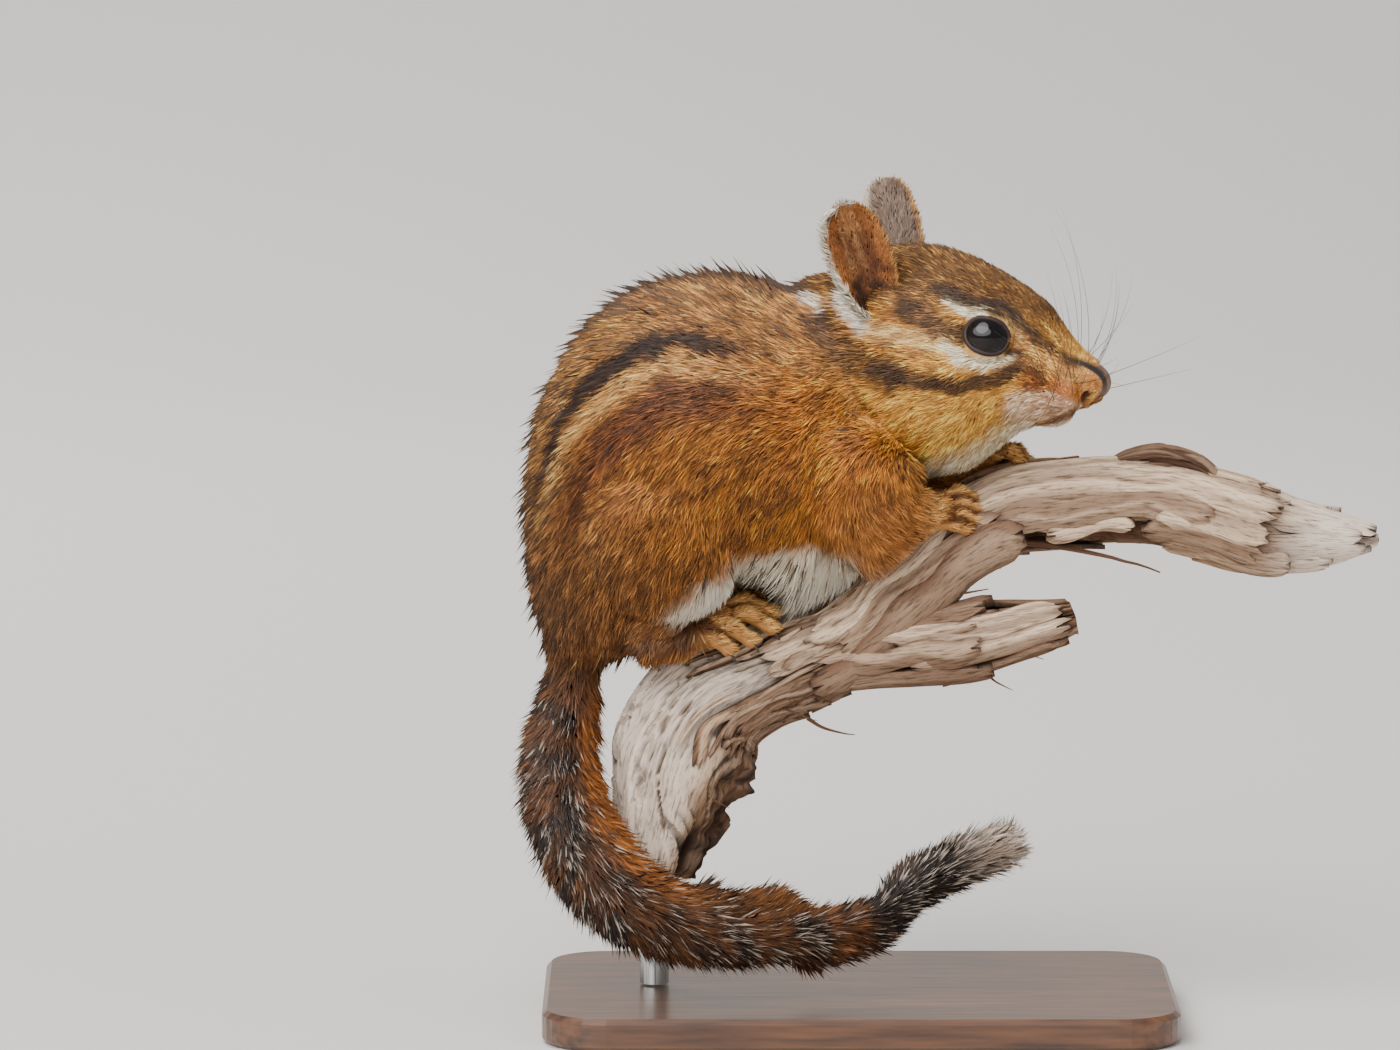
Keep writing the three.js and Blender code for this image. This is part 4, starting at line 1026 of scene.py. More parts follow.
around, across = lids["around"], lids["across"]
for name, hand, spot in (("right", -1, eyes["spots"][0]), ("left", 1, eyes["spots"][1])):
    ahead, forward, upward = eyeWays(hand)
    phi = np.linspace(0, 2 * math.pi, around, endpoint=False)
    edge = lids["high"] + (lids["wide"] - lids["high"]) * np.abs(np.cos(phi))**2.2
    edge = edge - 3 * (np.sin(phi) < 0) * np.sin(phi)
    loop = np.array(lids["profile"] + lids["profile"][:1], float)
    share = np.linspace(0, 1, across, endpoint=False)
    profile = curveAt(loop, share)
    polar = np.radians(edge[:, None] + profile[:, 0])
    way = (np.cos(polar)[..., None] * ahead + np.sin(polar)[..., None]
           * (np.cos(phi)[:, None, None] * forward + np.sin(phi)[:, None, None] * upward))
    grid = np.array(spot) + way * profile[:, 1][None, :, None]
    i, j = np.meshgrid(np.arange(around) * across, np.arange(across), indexing="ij")
    nextI, nextJ = (i + across) % (around * across), (j + 1) % across
    quads = np.stack([i + j, nextI + j, nextI + nextJ, i + nextJ], -1).reshape(-1, 4)
    points = fromHead(grid.reshape(-1, 3))
    away = points - fromHead(np.array(spot) + ahead * 1.0)
    outer = np.tile((profile[:, 1] > 4.0), around)
    if (dot(pointNormals(points, quads), away) * outer).sum() < 0:
        quads = quads[:, ::-1]
    normal = pointNormals(points, quads)
    lidTraits = describeSkin(points, normal)
    step = np.tile(profile[:, 0], around)
    bareEdge = 1 - smooth(5.5, 9, step)
    colour = blendTo(lidTraits["colour"], fur["lidEdge"], bareEdge)
    piece = meshFrom(f"eyelids_{name}", points, quads)
    addColours(piece.data, "coatColour", colour * (0.6 + 0.4 * bareEdge[:, None]))
    addPlaces(piece.data, "OFBake", faceMap(lidTraits, quads))
    fit(piece, coatPaint, "coat")
    lidTraits["length"] = np.full(len(points), 0.95)
    lidTraits["coat"] = np.full(len(points), 0.3)
    furry = smooth(6.5, 9.5, step) * np.tile(profile[:, 1] > 3.8, around)
    roots = spreadRoots(points, quads, lidTraits, np.full(len(points), lids["density"]), furry)
    growTufts(f"eyelid_coat_{name}", roots, {"width": 0.12, "lift": 24, "bend": 12}, shadeTufts(roots, 0.5))

# Tip of the snout: a fine skin from x 33.4 to the nose, as rows of place along it, top, bottom and half
# width. Grooves are lines in the side view with their half width and depth: the nostril's comma, the
# edge under it and the fold of the lip. Points move in by depth·(1 − smooth(distance)).
nose = {
    "rows": [(33.4, 1.0, -7.3, 3.3), (34.2, 1.05, -7.5, 3.7), (35, 0.5, -7.35, 3.65),
             (35.8, -0.15, -7, 3.3), (36.6, -0.75, -6.65, 2.95), (37.3, -1.3, -6.15, 2.45),
             (37.9, -1.85, -5.55, 1.85), (38.35, -2.5, -4.9, 1.2), (38.6, -3.2, -4.2, 0.5)],
    "grooves": [([(36, -5.0), (35.4, -5.4), (35.05, -6.2), (35.1, -7.1)], 0.32, 0.4, 1.2),
                ([(35.1, -7.1), (35.7, -7.0), (36.6, -6.5), (37.5, -5.8)], 0.15, 0.3, 0.45)],
    "rim": [(34.4, -0.3), (35.6, -0.9), (36.6, -1.5), (37.4, -2.2), (37.95, -3), (38.1, -3.8),
            (37.9, -4.7), (37.3, -5.6)],
    "bare": tint(118, 92, 76), "black": tint(34, 26, 24), "grooveShade": tint(58, 20, 20),
    "tan": tint(228, 158, 88), "density": 72.0,
}
nosePaint = leather("noseSkin", tint(255, 255, 255), 0.5, "noseColour")
rings, around = 60, 110
row = curveAt(nose["rows"], np.linspace(0, 1, rings))
turn = np.linspace(0, 2 * math.pi, around, endpoint=False)
grid = np.stack([np.repeat(row[:, :1], around, 1), np.outer(row[:, 3], np.cos(turn)),
                 (row[:, 1:2] + row[:, 2:3]) / 2 + np.outer((row[:, 1] - row[:, 2]) / 2, np.sin(turn))], -1)
points, quads, fans = closeGrid(grid, (33, 0, -3), (38.7, 0, -3.7))
outward = pointNormals(points, quads)
if dot(outward[:1], points[:1] - (35, 0, -4))[0] < 0:
    outward = -outward
side = points[:, [0, 2]]
hollowness = np.zeros(len(points))
for line, half, soft, depth in nose["grooves"]:
    near = 1 - smooth(half, half + soft, toLine(side, line)[0])
    near = near * smooth(0.3, 0.8, np.abs(points[:, 1]))
    points = points - outward * (near * depth)[:, None]
    hollowness = np.maximum(hollowness, near)
cleft = ((1 - smooth(0.1, 0.4, np.abs(points[:, 1]))) * smooth(-3.2, -4.4, points[:, 2])
         * smooth(35.5, 36.5, points[:, 0]))
points = points - outward * (cleft * 0.3)[:, None]
fromRim, alongRim = toLine(side, nose["rim"])
rimX, rimZ = np.array(nose["rim"]).T
onRim = 1 - smooth(0.2, 0.55, fromRim)
ahead = np.maximum(onRim, smooth(0.1, 0.5, side[:, 0] - np.interp(-side[:, 1], -rimZ, rimX))
                   * smooth(-0.8, -1.2, side[:, 1]))
bareColour = blendTo(np.tile(nose["bare"], (len(points), 1)), nose["black"],
                     onRim * (1 - 0.6 * smooth(0.55, 0.9, alongRim)))
marks = describeSkin(fromHead(points), outward @ headTurn.T)["colour"]
marks = blendTo(marks, nose["tan"], smooth(34.2, 36, points[:, 0]) * smooth(0.2, -1, points[:, 2]) * 0.8)
colour = blendTo(marks, bareColour, ahead)
# The grooves and the cleft are painted dark red-brown: painted shade in the nostril, under it, in the fold
# of the lip and in the cleft
colour = blendTo(colour, nose["grooveShade"], np.maximum(hollowness, cleft))
piece = meshFrom("nose_tip", fromHead(points), quads, fans)
addColours(piece.data, "noseColour", colour)
fit(piece, nosePaint, "paw_skin")
count = len(points)
way = unit(np.array([-1, 0, 0.1]) - outward * dot(outward, [-1, 0, 0.1])[:, None])
noseTraits = {
    "normal": outward @ headTurn.T, "lie": way @ headTurn.T, "length": np.full(count, 0.8),
    "coat": np.full(count, 0.3), "colour": colour, "dark": np.full(count, 0.22),
    "droop": np.zeros(count), "owner": np.zeros(count, int),
    "t": (points[:, 0] - 33) / 6, "angle": points[:, 1] * 20,
}
furred = (1 - smooth(0.3, 0.6, ahead)) * (1 - smooth(0.15, 0.5, hollowness)) * (points[:, 0] > 33.8)
roots = spreadRoots(fromHead(points), quads, noseTraits, np.full(count, nose["density"]), furred)
growTufts("nose_coat", roots, {"width": 0.09, "lift": 46, "bend": 24}, shadeTufts(roots, 1.2))


# Threads: rings of points round each line, at line + radius·(cos(turn)·aside + sin(turn)·above), with
# faces outwards. Caps are the corners that close one thread's ends.
def threads(line, radius, turns, lean, caps):
    tangent = unit(np.gradient(line, axis=1))
    aside = unit(np.cross(tangent, lean))
    above = np.cross(tangent, aside)
    turns = np.radians(turns)[:, None]
    rings = line[:, :, None] + radius[..., None] * (np.cos(turns) * aside[:, :, None]
                                                   + np.sin(turns) * above[:, :, None])
    count, stations, sides = rings.shape[:3]
    starts = np.arange(count)[:, None] * stations * sides
    quads = (gridQuads(stations, sides, True) + starts[..., None]).reshape(-1, 4)
    caps = np.vstack([starts + cap for cap in caps])
    points = rings.reshape(-1, 3)
    if dot(faceNormals(points, quads)[:1], points[quads[0]].mean(0) - line[0, 0])[0] < 0:
        quads, caps = quads[:, ::-1], caps[:, ::-1]
    return points, quads, caps


# Whiskers: thin tapered arcs, swept back, out and up from the pads of the muzzle
whiskers = {"each": 15, "long": (15, 29), "thick": 0.068, "nearShare": 0.82}
hand = np.repeat([-1, 1], whiskers["each"])
count = len(hand)
rowPlace = draw.random(count)
start = np.column_stack([34.5 - 5 * rowPlace, hand * (3.2 + 2.2 * rowPlace),
                         -3.2 - 3.6 * draw.random(count)])
rise = draw.uniform(-0.1, 1.05, count)
way = unit(np.column_stack([draw.uniform(-0.1, 0.8, count), hand * draw.uniform(0.22, 0.5, count), rise]))
length = draw.uniform(*whiskers["long"], count) * (0.6 + 0.4 * (rise > 0))
length = length * np.where(hand < 0, whiskers["nearShare"], 1)
curl = np.column_stack([np.full(count, -0.55), np.zeros(count), draw.uniform(-0.35, 0.25, count)])
s = np.linspace(0, 1, 15)[None, :, None]
line = start[:, None] + length[:, None, None] * (way[:, None] * s + curl[:, None] * s * s * 0.55)
points, quads, caps = threads(line, whiskers["thick"] * (1 - 0.85 * s), [90, 210, 330], [0.3, 0.2, 1],
                              ([0, 2, 1], [42, 43, 44]))
piece = meshFrom("whiskers", fromHead(points), quads, caps)
fit(piece, leather("whiskerHorn", tint(70, 58, 50), 0.4), "coat")

# Ears: a cupped leaf from its root to a round top. Points are root + along·length·u + across·half·v +
# face·cup(u, v), on two faces that meet at the edge.
ears = {
    "roots": {"right": (6, -9.2, 7), "left": (5.8, 9.4, 7.4)}, "turn": {"right": 0.42, "left": 0.2},
    "length": 19.8, "width": 8.7, "thick": 0.8, "widest": 0.58, "density": 25.0,
    "inner": tint(190, 124, 70), "innerCupShade": tint(124, 76, 46), "earBaseShade": tint(48, 34, 28),
    "innerPale": tint(206, 162, 110), "rimBack": tint(236, 224, 204), "rimFront": tint(206, 150, 84),
    "back": tint(126, 106, 92),
}


def earShape(side, rows=46, columns=34):
    hand = -1 if side == "right" else 1
    along = unit(np.array([-0.32, hand * 0.18, 0.93]))
    face = np.array([ears["turn"][side], hand * 0.9, 0.05])
    face = unit(face - along * dot(face, along))
    across = np.cross(along, face)
    u = np.sin(np.linspace(0, math.pi / 2, rows)) * 0.997
    v = np.sin(np.linspace(-math.pi / 2, math.pi / 2, columns))
    v = np.concatenate([v, v[::-1]])
    half = np.concatenate([np.full(columns, 0.5), np.full(columns, -0.5)])
    rise = (u - ears["widest"]) / np.where(u < ears["widest"], ears["widest"], 1 - ears["widest"])
    fall = np.where(u < ears["widest"], 0.93 * np.abs(rise)**1.9, np.abs(rise)**2.3)
    wide = ears["width"] / 2 * np.sqrt(np.maximum(0, 1 - fall))
    edge = np.minimum(1, np.sqrt(np.maximum(0, 1 - v * v)) * 1.6 + 0.12)
    cup = np.outer(2.8 - 1.4 * u, v * v - 1) + 1.5 * (u * u)[:, None]
    grid = (np.array(ears["roots"][side]) + (u * ears["length"] - 1.4)[:, None, None] * along
            + (wide[:, None] * v)[..., None] * across
            + (cup + half * ears["thick"] * edge)[..., None] * face)
    poles = [np.array(ears["roots"][side]) + along * (share * ears["length"] - 1.4) + face * lift
             for share, lift in ((0, -2.8), (1, 0.1))]
    return grid, poles, u, v, half, along, across, face


for side in ("right", "left"):
    grid, poles, u, v, half, along, across, face = earShape(side)
    points, quads, fans = closeGrid(grid, *poles)
    uGrid = np.append(np.repeat(u, len(v)), [0, 1])
    vGrid = np.append(np.tile(v, len(u)), [0, 0])
    frontward = vGrid * np.sign(across[0])
    inside = np.append(np.tile(half > 0, len(u)), [True, True])
    points = fromHead(points)
    soft = (lumps(points, 1.2, 90) - 0.5) * 0.3
    colour = np.where(inside[:, None], ears["inner"], ears["back"])
    # The middle of the cup low down and the base inside are painted darker: painted shade in the hollow of
    # the ear
    cupShade = (1 - smooth(0.35, 0.85, np.abs(vGrid) + soft)) * (1 - smooth(0.6, 0.95, uGrid + soft))
    hairs = lumps(np.column_stack([vGrid * 9, uGrid * 2.2, inside * 5.0]), 1, 93)
    colour = blendTo(colour, ears["innerCupShade"], inside * cupShade)
    colour = blendTo(colour, ears["innerPale"],
                     inside * smooth(0.55, 0.8, hairs) * smooth(0.2, 0.8, uGrid) * 0.6)
    colour = blendTo(colour, ears["earBaseShade"], inside * smooth(0.42, 0.22, uGrid + soft) * 0.9)
    rim = smooth(0.9, 0.98, np.abs(vGrid) + soft * 0.2)
    colour = blendTo(colour, ears["rimFront"], rim * (frontward > 0))
    colour = blendTo(colour, ears["rimBack"], rim * (frontward < 0))
    colour = blendTo(colour, ears["rimBack"], ~inside * smooth(0.2, 0.9, -frontward + soft) * 0.8)
    colour = blendTo(colour, ears["rimBack"], smooth(0.965, 0.99, uGrid) * 0.7)
    piece = meshFrom(f"ear_leaf_{side}", points, quads, fans)
    addColours(piece.data, "coatColour", colour * 0.7)
    fit(piece, coatPaint, "ear_skin", f"ear_{side}")
    normal = pointNormals(points, quads)
    way = unit(along[None] * 0.8 + across * (0.8 * vGrid)[:, None]) @ headTurn.T
    way = unit(way - normal * dot(way, normal)[:, None])
    count = len(points)
    earTraits = {
        "normal": normal, "lie": way, "coat": np.full(count, 0.3), "colour": colour,
        "length": np.where(inside, 1.15, 1.3) + 1.1 * (frontward < -0.9),
        "dark": np.where(inside, 0.3, 0.12),
        "droop": np.zeros(count), "owner": np.full(count, 0 if side == "right" else 1), "t": uGrid,
        "angle": vGrid * 180,
    }
    roots = spreadRoots(points, quads, earTraits, np.full(count, ears["density"]),
                        smooth(0.02, 0.12, uGrid))
    style = {"width": 0.13, "lift": 36, "bend": 20, "mess": 9}
    growTufts(f"ear_coat_{side}", roots, style, shadeTufts(roots, 0.7), "ear_skin")
print("eyes, nose, whiskers and ears")

# Feet: each sole and its toes fused into one skin, with hair on top and a claw on each toe
clawPaint = leather("clawHorn", tint(66, 50, 42), 0.3)
for footName, foot in feet.items():
    shapes = [tube(soleBody(foot), 24, 20)] + [tube(toeBody(toe), 16, 14) for toe in foot["toes"]]
    points, quads = fuse(footName, shapes, 0.26, 5)
    normal = pointNormals(points, quads)
    axes = [np.array(toe, float) for toe in foot["toes"]]
    ahead = unit(np.mean([toe[2] for toe in axes], axis=0) - np.array(foot["sole"][0][:3]))
    fromToes = np.sort([toLine(points, toe)[0] for toe in axes], axis=0)
    gap = 1 - smooth(0.25, 1.0, fromToes[1] - fromToes[0])
    onToes = 1 - smooth(1.8, 2.8, fromToes[0])
    under = smooth(0.1, -0.6, normal[:, 2])
    # Between the toes the colour goes dark: painted shade in the gaps
    colour = blendTo(np.tile(fur["paw"], (len(points), 1)), fur["toeGapShade"], gap * onToes * 0.95)
    colour = blendTo(colour, fur["foreleg"], (1 - onToes) * 0.5)
    colour = blendTo(colour, fur["toeGapShade"] * 0.7, gap * onToes * 0.5)
    # The hind heel takes the rump's fur colour, made a fifth darker as painted shade under the haunch
    heel = smooth(-22.5, -26.5, points[:, 0]) * footName.startswith("hind")
    colour = blendTo(colour, fur["rump"] * 0.8, heel)
    # The underside of each foot takes the darker leg colour: painted shade
    colour = blendTo(colour, fur["foreleg"], under * 0.6)
    piece = meshFrom(f"{footName}_skin", points, quads)
    addColours(piece.data, "coatColour", colour * 0.75)
    fit(piece, coatPaint, "paw_skin", footName)
    way = ahead * (1 - heel[:, None]) + np.array([-0.4, 0, -0.9]) * heel[:, None]
    way = unit(way - normal * dot(way, normal)[:, None])
    count = len(points)
    footTraits = {
        "normal": normal, "lie": way, "length": 1.3 + 2.0 * heel, "coat": np.full(count, 0.35),
        "colour": colour, "dark": np.full(count, 0.2), "droop": 0.4 * heel,
        "owner": np.zeros(count, int), "t": lumps(points, 9, 5), "angle": np.zeros(count),
    }
    roots = spreadRoots(points, quads, footTraits, np.full(count, footShape["density"]),
                        np.maximum(1 - under, heel))
    style = {"width": 0.13, "lift": 38, "bend": 20, "mess": 9}
    growTufts(f"{footName}_coat", roots, style, shadeTufts(roots, 1.1), "paw_skin")
    claws = []
    for joint, tipPoint in (toe[1:] for toe in axes):
        lead = unit(tipPoint - joint)
        share = np.linspace(-0.25, 1, 8)
        middle = tipPoint + lead * share[:, None] * footShape["claw"]
        middle = middle - np.array([0, 0, 0.9]) * (np.maximum(share, 0)**2)[:, None]
        radius = footShape["clawThick"] * np.sqrt(np.maximum(1.02 - share, 0.004) / 1.27)
        body = limb(*[(*p, r * 0.75, r, 0) for p, r in zip(middle, radius)])
        claws.append(tube(body, 14, 12, 0.6))
    piece = meshFrom(f"{footName}_claws", *joined(claws))
    fit(piece, clawPaint, "paw_skin")
print("feet and claws")

# Perch: rows of x, y, z, half width and half height for the branch and the prong that grows from it.
# Strips are torn planks that lie on it, as rows of start and end in millimetres along it, angle at the
# start and at the end in degrees (90 on top, 180 to the front, 270 below), half width, thickness, and
# how far the start and the end rise off it. Twigs are rows of start, end, sag and thickness.
perch = {
    "branch": [
        (-31.6, 0, 23.2, 7, 6.6), (-29.4, 0, 32.1, 8.4, 8.4), (-26.9, 0, 41, 9.4, 10),
        (-22.6, 0, 48.2, 9, 9), (-16.2, 0, 52.2, 7.8, 7.4), (-9.1, 0, 55.6, 7.2, 7.1),
        (-1.5, 0, 59.6, 6.5, 6.5),
        (6.1, 0, 65.9, 6, 6.1), (13.6, 0, 72.6, 5.5, 5.3), (21.2, 0, 77, 5.6, 5.7), (28.8, 0, 78.4, 5.6, 6),
        (36.4, 0, 79.1, 5.5, 5.8), (43.9, 0, 79.2, 5.4, 5.7), (51.5, 0, 77.6, 5.3, 5.9),
        (59.1, 0, 75.3, 5, 6.2), (65.2, 0, 74.3, 4.4, 5), (73, 0, 73.7, 2.9, 3), (78.4, 0, 73.3, 0.9, 0.8),
    ],
    "prong": [
        (-8, -1.5, 54.6, 4, 4), (0, -3, 56.2, 3.8, 4.8), (7.4, -3.8, 57, 3.5, 5),
        (14, -4.2, 57.9, 3.1, 4.8), (21.2, -4.4, 59.7, 2.6, 4.2), (28, -4.6, 61.2, 2.2, 3.1),
        (32.2, -4.6, 62.4, 1.9, 2.1),
    ],
    "branchStrips": [
        (70, 120, 112, 112, 2.6, 1.3, 0, 0.6), (72, 122.5, 148, 145, 2.6, 1.5, 0.2, 0.6),
        (79, 112, 182, 180, 1.9, 1.7, 0.6, 0.4), (86, 100, 206, 208, 1.1, 1.3, 1.2, 0.6),
        (101, 121, 214, 207, 2.0, 1.6, 0.3, 1.0), (105, 125, 232, 222, 1.9, 1.5, 0.5, 1.4),
        (103, 121, 188, 188, 2.2, 1.5, 0.8, 1.2),
        (42, 83, 214, 208, 2.8, 2.6, 0.2, 1.6), (48, 80, 186, 180, 2.2, 1.6, 0.2, 1.2),
        (44, 73, 158, 152, 2.2, 1.3, 0.3, 0.8), (40, 66, 240, 238, 2.0, 1.8, 0.2, 1.6),
        (118, 135, 150, 160, 1.7, 1.0, 0.2, 0.8), (116, 136, 195, 185, 1.8, 1.2, 0.3, 0.6),
        (110, 131, 248, 234, 1.8, 1.1, 0.6, 1.0), (120, 137.5, 100, 130, 1.4, 0.8, 0.2, 0.8),
        (28, 52, 205, 220, 1.0, 0.8, 0.3, 0.9), (26, 50, 222, 236, 0.8, 0.8, 0.6, 1.3),
        (24, 47, 236, 248, 0.7, 0.8, 1.0, 1.6), (23, 44, 214, 244, 0.6, 0.7, 0.8, 1.8),
        (30, 56, 190, 206, 1.2, 0.7, 0.2, 0.6), (32, 50, 250, 262, 0.7, 0.7, 0.6, 1.4),
        (27, 40, 228, 262, 0.5, 0.6, 1.4, 1.6), (20, 40, 252, 258, 0.7, 0.7, 0.6, 1.2),
        (36, 60, 152, 150, 1.4, 0.7, 0.2, 0.4), (18, 34, 190, 196, 0.9, 0.5, 0.1, 0.4),
    ],
    "prongStrips": [
        (2, 30, 122, 118, 1.6, 1.4, 0.2, 1.2), (10, 40, 152, 150, 1.5, 1.3, 0.5, 0.4),
        (2, 27, 182, 184, 1.4, 1.6, 0.2, 1.4), (16, 41, 200, 198, 1.3, 1.1, 0.8, 0.5),
        (4, 28, 226, 232, 1.4, 1.3, 0.3, 1.6), (20, 39, 250, 240, 1.1, 0.9, 0.6, 1.2),
    ],
    "twigs": [
        ((-8, -4, 46.6), (-0.8, -5, 44.2), 0.6, 0.34), ((18, -6, 54.2), (23.2, -6.4, 51.4), 0.2, 0.26),
        ((10, -5, 66.2), (19.4, -5.6, 66.6), 0.4, 0.4), ((8, -5, 68), (16.2, -5.4, 68.8), -0.3, 0.32),
        ((24, -3, 73.4), (45.2, -3.4, 68.6), -1.0, 0.62), ((-12, -6, 49), (-6.4, -7, 46.8), 0.5, 0.22),
        ((16, -5.4, 57.6), (27.6, -6, 55.8), -0.4, 0.3), ((-24, -6.8, 36), (-19.8, -7.4, 33.4), 0.3, 0.26),
    ],
    "chip": [(37.4, 0, 84.8, 1.8, 0.6), (41, -0.6, 86.0, 3.4, 1.4), (45.6, -0.8, 86.3, 4.2, 2.0),
             (50.6, -0.8, 85.0, 4.0, 1.9), (54.6, -0.4, 82.2, 2.8, 1.2)],
    "grey": tint(150, 122, 98), "cream": tint(232, 204, 174), "brown": tint(98, 66, 44),
    "dark": tint(34, 24, 18), "warm": tint(164, 128, 94), "bleachedAndHighlight": tint(242, 226, 210),
}


# Weathered wood in grain coordinates (mm along, angle round, a radius in mm): the angle and length are
# bent by noise, then long narrow ridges, torn steps and cracks are read off noise stretched along it.
# Gives the height in millimetres and the colour.
def weather(along, turn, radius, seed, torn):
    drift = np.column_stack([radius * np.cos(turn), radius * np.sin(turn), along / 3])
    turn = turn + (lumps(drift, 5.5, seed) - 0.5) * 0.8
    along = along + (lumps(drift, 4, seed + 1) - 0.5) * 8

    def grain(size, stretch, k):
        place = np.column_stack([radius * np.cos(turn), radius * np.sin(turn), along / stretch])
        return lumps(place, size, seed + k)

    broad, middle, fine = grain(3.0, 7, 2), grain(1.1, 14, 3), grain(0.42, 26, 4)
    steps = grain(2.6, 8, 5) * 6
    part = steps - np.floor(steps)
    step = np.floor(steps) + smooth(0.88, 1, part)
    crack = (1 - smooth(0.03, 0.08, np.abs(grain(1.5, 16, 6) - 0.5))) * smooth(0.3, 0.46, grain(4, 2.5, 7))
    hairline = (1 - smooth(0.03, 0.07, np.abs(grain(0.7, 22, 9) - 0.5))) * smooth(0.2, 0.4, grain(2, 4, 10))
    furrow = smooth(0.3, 0.62, fine)
    height = (broad - 0.5) * 1.0 + (middle - 0.5) * 0.7 + (furrow - 0.6) * 0.28
    height = height + torn * (step - 2.8) * 0.55 - crack * 1.5 - hairline * 0.45
    # The foot of each torn step (edge) is painted brown and dark, and the cracks dark: painted shade under
    # the steps' edges and in the cracks. The dark hairlines are grain
    edge = smooth(0.7, 0.88, part) * (1 - smooth(0.93, 1, part)) * torn
    colour = blendTo(np.tile(perch["grey"], (len(along), 1)), perch["cream"],
                     smooth(0.35, 0.75, broad * 0.6 + middle * 0.4) * (0.95 - 0.35 * torn))
    colour = blendTo(colour, perch["warm"], smooth(0.5, 0.8, grain(3, 4, 8)) * 0.6)
    colour = blendTo(colour, perch["brown"], np.clip((1 - furrow) * 0.5 + edge * 0.6, 0, 1))
    return height, blendTo(colour, perch["dark"],
                           np.clip(crack + hairline * 0.85 + edge * 0.4, 0, 1) * 0.95)


# Lengths along a body in millimetres at evenly spaced shares of it
def lengthsOf(body, count=200):
    t = np.linspace(0, 1, count)
    steps = np.linalg.norm(np.diff(framesAt(body, t)["at"], axis=0), axis=1)
    return t, np.concatenate([[0], np.cumsum(steps)])


def finishWood(name, points, quads, fans, colour, place):
    piece = meshFrom(name, points, quads, fans)
    addColours(piece.data, "woodColour", colour)
    corners = quads.ravel() if fans is None else np.concatenate([quads.ravel(), fans.ravel()])
    uv = place[corners]
    turns = [np.repeat(np.ptp(uv[:quads.size].reshape(-1, 4, 2)[..., 1], axis=1) > 0.5, 4)]
    if fans is not None:
        turns.append(np.repeat(np.ptp(uv[quads.size:].reshape(-1, 3, 2)[..., 1], axis=1) > 0.5, 3))
    uv[np.concatenate(turns) & (uv[:, 1] < 0.5), 1] += 1
    addPlaces(piece.data, "woodGrain", uv)
    piece.data.set_sharp_from_angle(angle=math.radians(38))
    return fit(piece, woodPaint, "weathered_wood")


# A length of weathered wood: rings along the rows as in tube, each point moved out by the height that
# the weather gives, by three long waves round it and, below the bend, by a ragged edge. Dents are rows
# of length, angle, their spreads and depth: a point sinks by depth·exp(−distance²) from each.
def woodPiece(name, rows, along, around, seed, torn, waves, dents=(), scale=1.0):
    body = limb(*[(*row, 0) for row in rows])
    t = np.linspace(0, 1, along)
    ring = framesAt(body, t)
    length = np.interp(t, *lengthsOf(body))
    angle = np.linspace(0, 2 * math.pi, around, endpoint=False)
    tGrid, angleGrid = np.meshgrid(t, angle, indexing="ij")
    lengthGrid = np.repeat(length, around)
    turns = angleGrid.ravel()
    degrees = np.degrees(turns)
    onBranch = waves > 0
    height, colour = weather(lengthGrid, turns, ring["size"].mean(), seed, np.interp(tGrid.ravel(), *torn))
    for far, around0, spreadFar, spreadAround, depth in dents:
        near = np.exp(-((lengthGrid - far) / spreadFar)**2 - ((degrees - around0) / spreadAround)**2)
        height = height - depth * near
        # Deep dents are painted dark: painted shade in the hollows
        colour = blendTo(colour, perch["dark"], smooth(0.3, 0.7, near) * np.sign(depth) * 0.9)
    below = window(degrees, 268, 34, 26) * smooth(46, 22, lengthGrid) * onBranch
    clods = np.column_stack([lengthGrid / 2.2, turns * 8, turns * 0])
    height = height + below * ((lumps(clods, 0.9, seed + 20) - 0.5) * 1.9
                               + (lumps(clods, 2.4, seed + 21) - 0.5) * 2.2)
    colour = blendTo(colour, perch["brown"] * 0.7, below * 0.85)
    colour = blendTo(colour, perch["dark"], below * smooth(0.5, 0.7, lumps(clods, 0.9, seed + 22)) * 0.8)
    colour = blendTo(colour, perch["bleachedAndHighlight"], smooth(118, 131, lengthGrid) * onBranch * 0.75)
    colour = blendTo(colour, perch["brown"], window(lengthGrid, 58, 22, 16) * onBranch * 0.4)
    colour = blendTo(colour, perch["brown"], np.full(len(colour), 0.5) * (not onBranch))
    # The trunk's upper front, which faces the key lamp, is lightened towards the bleached colour: a painted
    # highlight
    pale = window(degrees, 140, 40, 30) * window(lengthGrid, 20, 16, 14) * onBranch
    colour = blendTo(colour, perch["bleachedAndHighlight"], pale * 0.6)
    # The bare hollow under the branch is painted brown: painted shade inside it
    inHollow = window(degrees, 256, 16, 10) * window(lengthGrid, 95, 12, 6) * onBranch
    colour = blendTo(colour, perch["brown"], inHollow * 0.8)
    height = height.reshape(along, around) * scale
    swell = 1 + waves * (0.07 * np.cos(3 * angleGrid + 4 * tGrid)
                         + 0.05 * np.cos(7 * angleGrid - 9 * tGrid + 1)
                         + 0.04 * np.cos(5 * angleGrid + 23 * tGrid))
    least = ring["size"][:, :1] * 0.35
    wide = np.maximum(ring["size"][:, :1] * swell + height, least)
    tall = np.maximum(ring["size"][:, 1:2] * swell + height, least)
    grid = (ring["at"][:, None] + (wide * np.cos(angle))[..., None] * ring["side"][:, None]
            + (tall * np.sin(angle))[..., None] * ring["up"][:, None])
    points, quads, fans = closeGrid(grid, grid[0].mean(0), grid[-1].mean(0) + ring["ahead"][-1] * 0.3)
    colour = np.vstack([colour, perch["brown"], perch["brown"]])
    place = np.column_stack([np.append(lengthGrid, [0, length[-1]]) / 20,
                             np.append(turns / (2 * math.pi), [0, 0])])
    return finishWood(name, points, quads, fans, colour, place)


